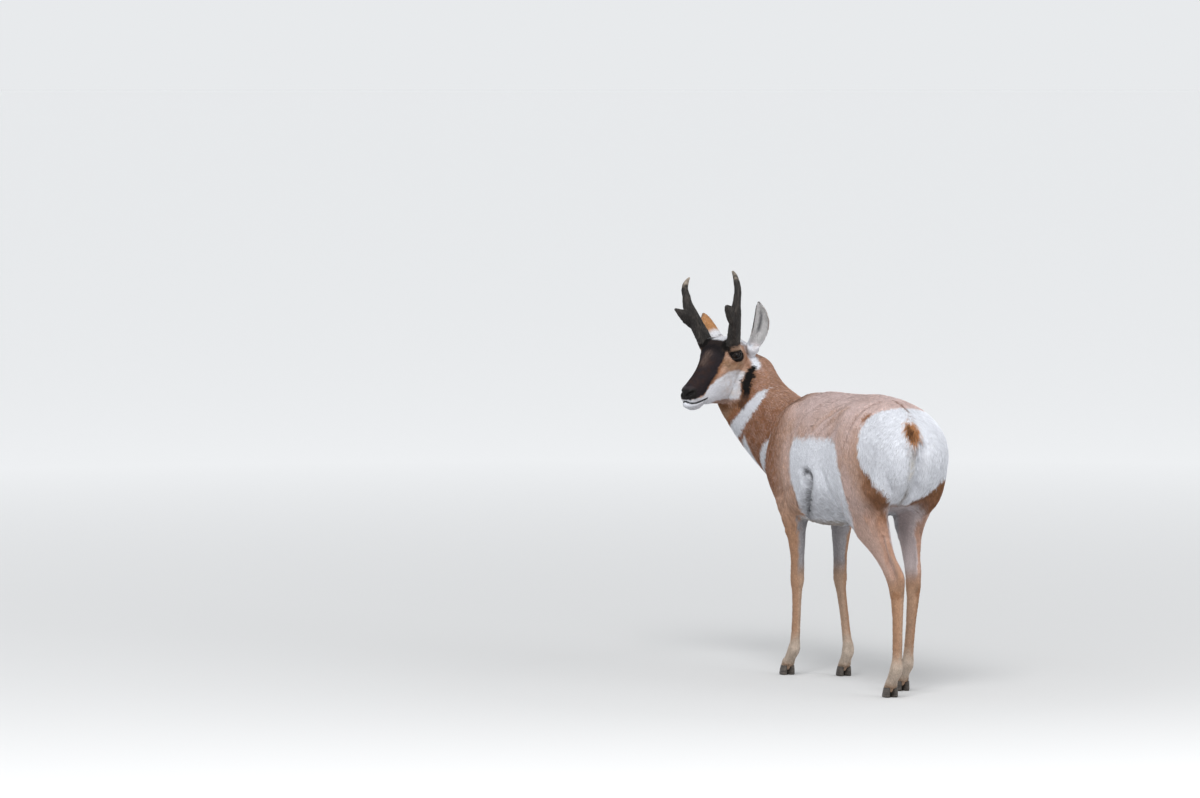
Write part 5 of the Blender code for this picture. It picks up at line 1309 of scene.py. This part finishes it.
def legMiddle(place, isFore):
    x = np.where(place.x > 0, 1, -1) * np.where(isFore, 0.077, 0.058)
    foreY = np.where(place.x > 0, table(place.z, [(0.0, -0.29), (0.08, -0.246), (0.3, -0.22), (0.6, -0.262)]),
                     table(place.z, [(0.0, -0.19), (0.08, -0.157), (0.3, -0.229), (0.6, -0.262)]))
    hindY = np.where(place.x > 0, table(place.z, [(0.0, 0.42), (0.09, 0.464), (0.33, 0.466), (0.47, 0.358), (0.6, 0.305)]),
                     table(place.z, [(0.0, 0.266), (0.09, 0.307), (0.33, 0.34), (0.47, 0.30), (0.6, 0.29)]))
    return x, np.where(isFore, foreY, hindY)


pieceNames = ["LeftFace", "Ears", "Neck", "ForeLegs", "HindLegs", "Rump", "LeftFlank", "RightFlank", "LeftHaunch", "RightHaunch", "RightFace"]


def unwrap(place):    # the coat piece of each point, and its place on that piece's own map
    count = len(place.points)
    piece = np.where(place.x > 0, 6, 7)
    piece = np.where(place.y > 0.10, piece + 2, piece)
    # trunk: along the body, and round it from belly to back
    turn = np.arctan2(np.abs(place.x), 0.69 - place.z) / pi
    u = (place.y + 0.50) / 1.10
    v = turn
    inner = (place.normals[:, 0] * np.sign(place.x) < -0.25) & (place.z < 0.62)
    v = np.where(inner, 0.30 + 0.02 * turn, v)
    rump = (place.y > 0.40) & (place.z > 0.56)
    piece = np.where(rump, 5, piece)
    u = np.where(rump, 0.5 + place.x / 0.36, u)
    v = np.where(rump, (place.z - 0.53) / 0.40, v)
    for isFore, number, top in ((True, 3, 0.53), (False, 4, 0.60)):
        on = (place.z < top) & ((place.y < 0.10) if isFore else (place.y > 0.20)) & (np.abs(place.x) > 0.015)
        on &= ~((place.normals[:, 2] < -0.75) & (place.z > 0.44))
        x, y = legMiddle(place, isFore)
        around = np.arctan2(place.x - x, place.y - y) / tau + 0.5
        piece = np.where(on, number, piece)
        u = np.where(on, 0.03 + 0.44 * around + np.where(place.x > 0, 0, 0.5), u)
        v = np.where(on, place.z / 0.62, v)
    on = (place.onNeck > 0.5) & (place.past > 0)
    piece = np.where(on, 2, piece)
    u = np.where(on, place.round / 360 + 0.5, u)
    v = np.where(on, place.up, v)
    on = (place.past <= 0) & (place.onHead > 0.3)
    piece = np.where(on, np.where(place.hy > 0, 0, 10), piece)
    u = np.where(on, np.arctan2(place.hy, -place.hz - 0.04) / tau + 0.5, u)
    v = np.where(on, (place.hx + 0.20) / 0.42, v)
    for k, (t, across, inside, isOn) in enumerate(place.ears):
        on = isOn > 0.5
        piece = np.where(on, 1, piece)
        u = np.where(on, 0.25 * (2 * k + (inside > 0.5)) + 0.125 + 0.09 * np.clip(across, -1.2, 1.2), u)
        v = np.where(on, t, v)
    uv = 0.01 + 0.975 * np.clip(np.stack([u, v], 1), 0, 1)
    return piece, uv[:count]


# ---- tufts ----

coat = {
    "tufts": 205000,
    "patch": 0.003,         # width of a tuft's patch on its map
    "jitter": 0.17,         # how far single tufts turn from the lie
    "rings": (0.45,),
    "longRings": (0.30, 0.68),
    "longFrom": 0.030,      # tufts longer than this have one more ring
}


def spindles(name, roots, normals, ways, length, width, lift, colours, uv, rings, material, tree):
    count = len(roots)
    sides = np.cross(normals, ways)
    marks = list(rings) + [1.0]
    places = [roots - normals * 0.0010]
    ups = [normals]
    for mark in marks:
        aim = roots + ways * (length * mark)[:, None]
        found = np.empty((count, 3))
        up = np.empty((count, 3))
        for i in range(count):
            place, normal, _, far = tree.find_nearest(aim[i], 0.05)
            found[i] = place
            up[i] = normal
        places.append(found)
        ups.append(up)
    corners = 3 * len(rings) + 2
    verts = np.empty((count, corners, 3))
    lean = np.empty((count, corners, 3))
    tint = np.empty((count, corners, 4))
    verts[:, 0] = places[0]
    lean[:, 0] = normals * 0.9 - ways * 0.4
    # painted shade within the coat: each tuft is darker at its root and lighter at its tip
    tint[:, 0, :3] = colours * 0.70
    for k, mark in enumerate(rings):
        rise = lift * (0.55 + 0.45 * mark)
        middle = places[k + 1] + ups[k + 1] * rise[:, None]
        full = width * (1.0 if mark < 0.5 else 0.8)
        verts[:, 1 + 3 * k] = middle - sides * (full / 2)[:, None]
        verts[:, 2 + 3 * k] = middle + sides * (full / 2)[:, None]
        verts[:, 3 + 3 * k] = middle + ups[k + 1] * (full * 0.35)[:, None]
        lean[:, 1 + 3 * k] = ups[k + 1] * 0.85 - sides * 0.5
        lean[:, 2 + 3 * k] = ups[k + 1] * 0.85 + sides * 0.5
        lean[:, 3 + 3 * k] = ups[k + 1]
        tint[:, 1 + 3 * k:4 + 3 * k, :3] = (colours * (0.86 + 0.16 * mark))[:, None]
    verts[:, -1] = places[-1] + ups[-1] * lift[:, None]
    lean[:, -1] = ups[-1] * 0.9 + ways * 0.4
    tint[:, -1, :3] = colours * 1.06
    tint[:, :, 3] = 1
    faces = [(0, 1, 3), (0, 3, 2), (0, 2, 1)]
    for k in range(len(rings) - 1):
        a, b, c = 1 + 3 * k, 2 + 3 * k, 3 + 3 * k
        d, e, f = a + 3, b + 3, c + 3
        faces += [(a, d, f), (a, f, c), (c, f, e), (c, e, b), (b, e, d), (b, d, a)]
    a, b, c = corners - 4, corners - 3, corners - 2
    faces += [(corners - 1, c, a), (corners - 1, b, c), (corners - 1, a, b)]
    faces = np.array(faces, np.int32)
    whole = (faces[None] + (np.arange(count) * corners)[:, None, None].astype(np.int32)).reshape(-1, 3)
    mesh = bpy.data.meshes.new(name)
    mesh.vertices.add(count * corners)
    mesh.vertices.foreach_set("co", verts.ravel())
    mesh.loops.add(len(whole) * 3)
    mesh.loops.foreach_set("vertex_index", whole.ravel())
    mesh.polygons.add(len(whole))
    mesh.polygons.foreach_set("loop_start", np.arange(len(whole), dtype=np.int32) * 3)
    mesh.update(calc_edges=True)
    tints = mesh.color_attributes.new(name="coat", type="FLOAT_COLOR", domain="POINT")
    tints.data.foreach_set("color", np.clip(tint, 0, 1).ravel())
    spread = np.array([0.5] + [0.0, 1.0, 0.5] * len(rings) + [0.5])
    strand = mesh.attributes.new(name="strand", type="FLOAT", domain="POINT")
    strand.data.foreach_set("value", (np.arange(count)[:, None] * 7.31 % 97 + spread).ravel().astype(np.float32))
    along = np.array([0.0] + [mark for mark in rings for _ in range(3)] + [1.0])
    across = np.array([0.5] + [0.0, 1.0, 0.5] * len(rings) + [0.5])
    flat = np.stack([across - 0.5, along - 0.5], 1) * coat["patch"]
    spots = (uv[:, None] + flat[None]).reshape(-1, 2)
    layer = mesh.uv_layers.new(name="OFBake")
    layer.data.foreach_set("uv", spots[whole.ravel()].ravel())
    mesh.shade_smooth()
    lean = lean.reshape(-1, 3)
    lean /= np.linalg.norm(lean, axis=1)[:, None]
    mesh.normals_split_custom_set_from_vertices(lean)
    mesh.materials.append(material)
    made = addObject(name, mesh)
    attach(made, "root")
    return made


def makeCoat(skin, tree):
    mesh = skin.data
    mesh.calc_loop_triangles()
    corners = np.empty(len(mesh.loop_triangles) * 3, np.int32)
    mesh.loop_triangles.foreach_get("vertices", corners)
    corners = corners.reshape(-1, 3)
    points, normals = pointsOf(mesh), normalsOf(mesh)
    _, _, _, density = coatShape(Place(points, normals))
    a, b, c = points[corners[:, 0]], points[corners[:, 1]], points[corners[:, 2]]
    area = np.linalg.norm(np.cross(b - a, c - a), axis=1) / 2
    weight = np.cumsum(area * density[corners].mean(1))
    draw = np.random.default_rng(7)
    count = coat["tufts"] // 1
    face = np.searchsorted(weight, draw.uniform(0, weight[-1], count))
    s, t = draw.uniform(size=count), draw.uniform(size=count)
    flip = s + t > 1
    s[flip], t[flip] = 1 - s[flip], 1 - t[flip]
    share = np.stack([1 - s - t, s, t], 1)
    roots = (points[corners[face]] * share[:, :, None]).sum(1)
    up = (normals[corners[face]] * share[:, :, None]).sum(1)
    up /= np.linalg.norm(up, axis=1)[:, None]
    place = Place(roots, up)
    length, width, lift, _ = coatShape(place)
    colours = coatColour(place)
    ways = lieAt(place)
    turn = draw.normal(0, coat["jitter"], count)
    ways = ways * np.cos(turn)[:, None] + np.cross(up, ways) * np.sin(turn)[:, None]
    length = length * draw.uniform(0.75, 1.25, count)
    width = width * draw.uniform(0.75, 1.25, count)
    lift = lift * draw.uniform(0.4, 1.5, count)
    bright = colours.mean(1)
    spread = 0.17 - 0.11 * smoothstep(bright, 0.3, 0.7)
    clump = wander(roots, 0.0075, 21) + 0.6 * wander(roots, 0.020, 22)
    colours = colours * (1 + spread * draw.normal(0, 0.8, count) + 0.85 * spread * clump)[:, None]
    piece, uv = unwrap(place)
    say("tufts laid")
    for number, name in enumerate(pieceNames):
        for long in (False, True):
            chosen = np.nonzero((piece == number) & ((length > coat["longFrom"]) == long))[0]
            if len(chosen) < 40:
                continue
            rings = coat["longRings"] if long else coat["rings"]
            made = "coat" + name + ("Long" if long else "")
            spindles(made, roots[chosen], up[chosen], ways[chosen], length[chosen], width[chosen], lift[chosen],
                     colours[chosen], uv[chosen], rings, hairMaterial, tree)
            print("   ", made, len(chosen) * (12 if long else 6))


# ---- the skin, finished ----

def finishSkin(mesh):
    sculptFolds(mesh)
    bm = bmesh.new()
    bm.from_mesh(mesh)
    shapeLids(bm)
    bm.to_mesh(mesh)
    bm.free()
    mesh.update()
    place = Place(pointsOf(mesh), normalsOf(mesh))
    length, width, lift, density = coatShape(place)
    furred = smoothstep(density * length * width, 0.05, 0.45)
    tint = np.ones((len(place.points), 4))
    # painted shade: the skin is darker where the coat covers it
    tint[:, :3] = coatColour(place) * (1 - (1 - coatFinish["shadowUnderCoat"]) * furred)[:, None]
    layer = mesh.color_attributes.new(name="coat", type="FLOAT_COLOR", domain="POINT")
    layer.data.foreach_set("color", tint.ravel())
    bare = mesh.attributes.new(name="bare", type="FLOAT", domain="POINT")
    bare.data.foreach_set("value", ((1 - furred) * place.onHead * (place.onEar < 0.5)).astype(np.float32))
    setPoints(mesh, place.points - place.normals * (0.8 * lift * furred)[:, None])
    mesh.shade_smooth()
    mesh.materials.clear()
    mesh.materials.append(skinMaterial())


finishSkin(skinMesh)
skinObject = addObject("skin", skinMesh)
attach(skinObject, "root")
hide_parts(*fleshNodes)
say("skin finished, %d faces" % len(skinMesh.polygons))
makeLidEdges()


# ---- horns, hooves and eyes ----

def refined(node, voxel, rounds):
    mesh = remeshed(node, [solidOf(node)], voxel)
    evened(mesh, rounds)
    mesh.shade_smooth()
    mesh.materials.clear()
    return mesh


def addValues(mesh, name, values):
    layer = mesh.attributes.new(name=name, type="FLOAT", domain="POINT")
    layer.data.foreach_set("value", np.ascontiguousarray(values, np.float32))


def makeHorns():
    material = hornMaterial()
    for side, hand in (("left", 1), ("right", -1)):
        mesh = refined(side + "_horn", 0.0015, 10)
        points, normals = pointsOf(mesh), normalsOf(mesh)
        local = inHead(points)
        low, high = local[:, 2].min(), local[:, 2].max()
        share = (local[:, 2] - low) / (high - low)
        streak = wander(local * np.array((1, 1, 0.07)), 0.0048, 31) + 0.7 * wander(local * np.array((1, 1, 0.14)), 0.0095, 32)
        warts = np.maximum(wander(local, 0.0075, 33) - 0.4, 0) * smoothstep(-share, -0.62, -0.25)
        setPoints(mesh, points + normals * ((0.00042 * streak + 0.0010 * warts) * smoothstep(1 - share, 0.02, 0.2))[:, None])
        tip = smoothstep(share + 0.03 * wander(local, 0.012, 34), 0.90 if hand > 0 else 0.84, 1.0)
        addValues(mesh, "tip", tip * (0.6 if hand > 0 else 1.0))
        mesh.materials.append(material)
        made = addObject(side + "Horn", mesh)
        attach(made, "root")
        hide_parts(side + "_horn")


def makeHooves():
    material = hoofMaterial()
    for name in legNames:
        for part in ("outer", "inner"):
            node = name + "_" + part + "_claw"
            mesh = refined(node, 0.0011, 5)
            mesh.materials.append(material)
            made = addObject(node + "Hoof", mesh)
            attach(made, "root")
            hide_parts(node)


def makeEyes():
    material = eyeMaterial()
    for side, hand in (("left", 1), ("right", -1)):
        centre, look, along, rise = eyeAxes(hand)
        mesh = ballMesh(eyeCentre(hand), pose["eyeRadius"] - 0.0004)
        offset = inHead(pointsOf(mesh)) - centre
        radius = np.hypot(offset @ along / 1.35, offset @ rise)
        front = offset @ look > 0
        addValues(mesh, "iris", smoothstep(radius, 0.0045, 0.0058) * front)
        mesh.shade_smooth()
        mesh.materials.append(material)
        made = addObject(side + "Eye", mesh)
        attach(made, "root")
        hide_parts(side + "_eye")


makeHorns()
makeHooves()
makeEyes()
say("horns, hooves and eyes made")

makeCoat(skinObject, BVHTree.FromObject(skinObject, bpy.context.evaluated_depsgraph_get()))
say("coat made")


# ---- studio ----

studio = {
    "floor": 400,
    # the floor's colour grows lighter from near to far: painted light where the softboxes' light falls off, so that the
    # floor meets the sky
    "near": (0.58, 0.58, 0.58),
    "far": (0.995, 0.995, 0.995),
    "sky": (0.96, 0.98, 1.0),
    "skyStrength": 0.84,
    "lights": [    # place, width and power of each softbox
        ((2.5, 4.4, 6.2), 3.0, 370),
        ((-3.2, 5.6, 2.6), 3.0, 102),
    ],
}


def makeFloor():
    bm = bmesh.new()
    bmesh.ops.create_circle(bm, cap_ends=True, segments=96, radius=studio["floor"])
    mesh = bpy.data.meshes.new("floor")
    bm.to_mesh(mesh)
    bm.free()
    floor = addObject("floor", mesh)
    floor.location.z = -0.0005
    made = Finish("paleFloor", {"Roughness": 0.9, "Specular IOR Level": 0.1})
    from_ = made.node("TexCoord", {}, {}, "Object")
    away = made.node("VectorMath", {"operation": "LENGTH"}, {0: from_}, "Value")
    made.feed(made.shader.inputs["Base Color"],
              made.mixed(made.ranged(away, 1.0, 10.0), studio["near"], studio["far"]))
    mesh.materials.append(made.material)


def makeStudio():
    bpy.context.scene.view_settings.view_transform = "Standard"
    makeFloor()
    world = bpy.data.worlds.new("studio")
    bpy.context.scene.world = world
    world.use_nodes = True
    sky = world.node_tree.nodes["Background"]
    sky.inputs["Color"].default_value = (*studio["sky"], 1)
    sky.inputs["Strength"].default_value = studio["skyStrength"]
    for place, size, power in studio["lights"]:
        light = bpy.data.lights.new("softbox", "AREA")
        light.size = size
        light.energy = power
        lamp = addObject("softbox", light)
        lamp.location = place
        lamp.rotation_euler = (Vector((0, 0, 0.7)) - Vector(place)).to_track_quat("-Z", "Y").to_euler()


makeStudio()
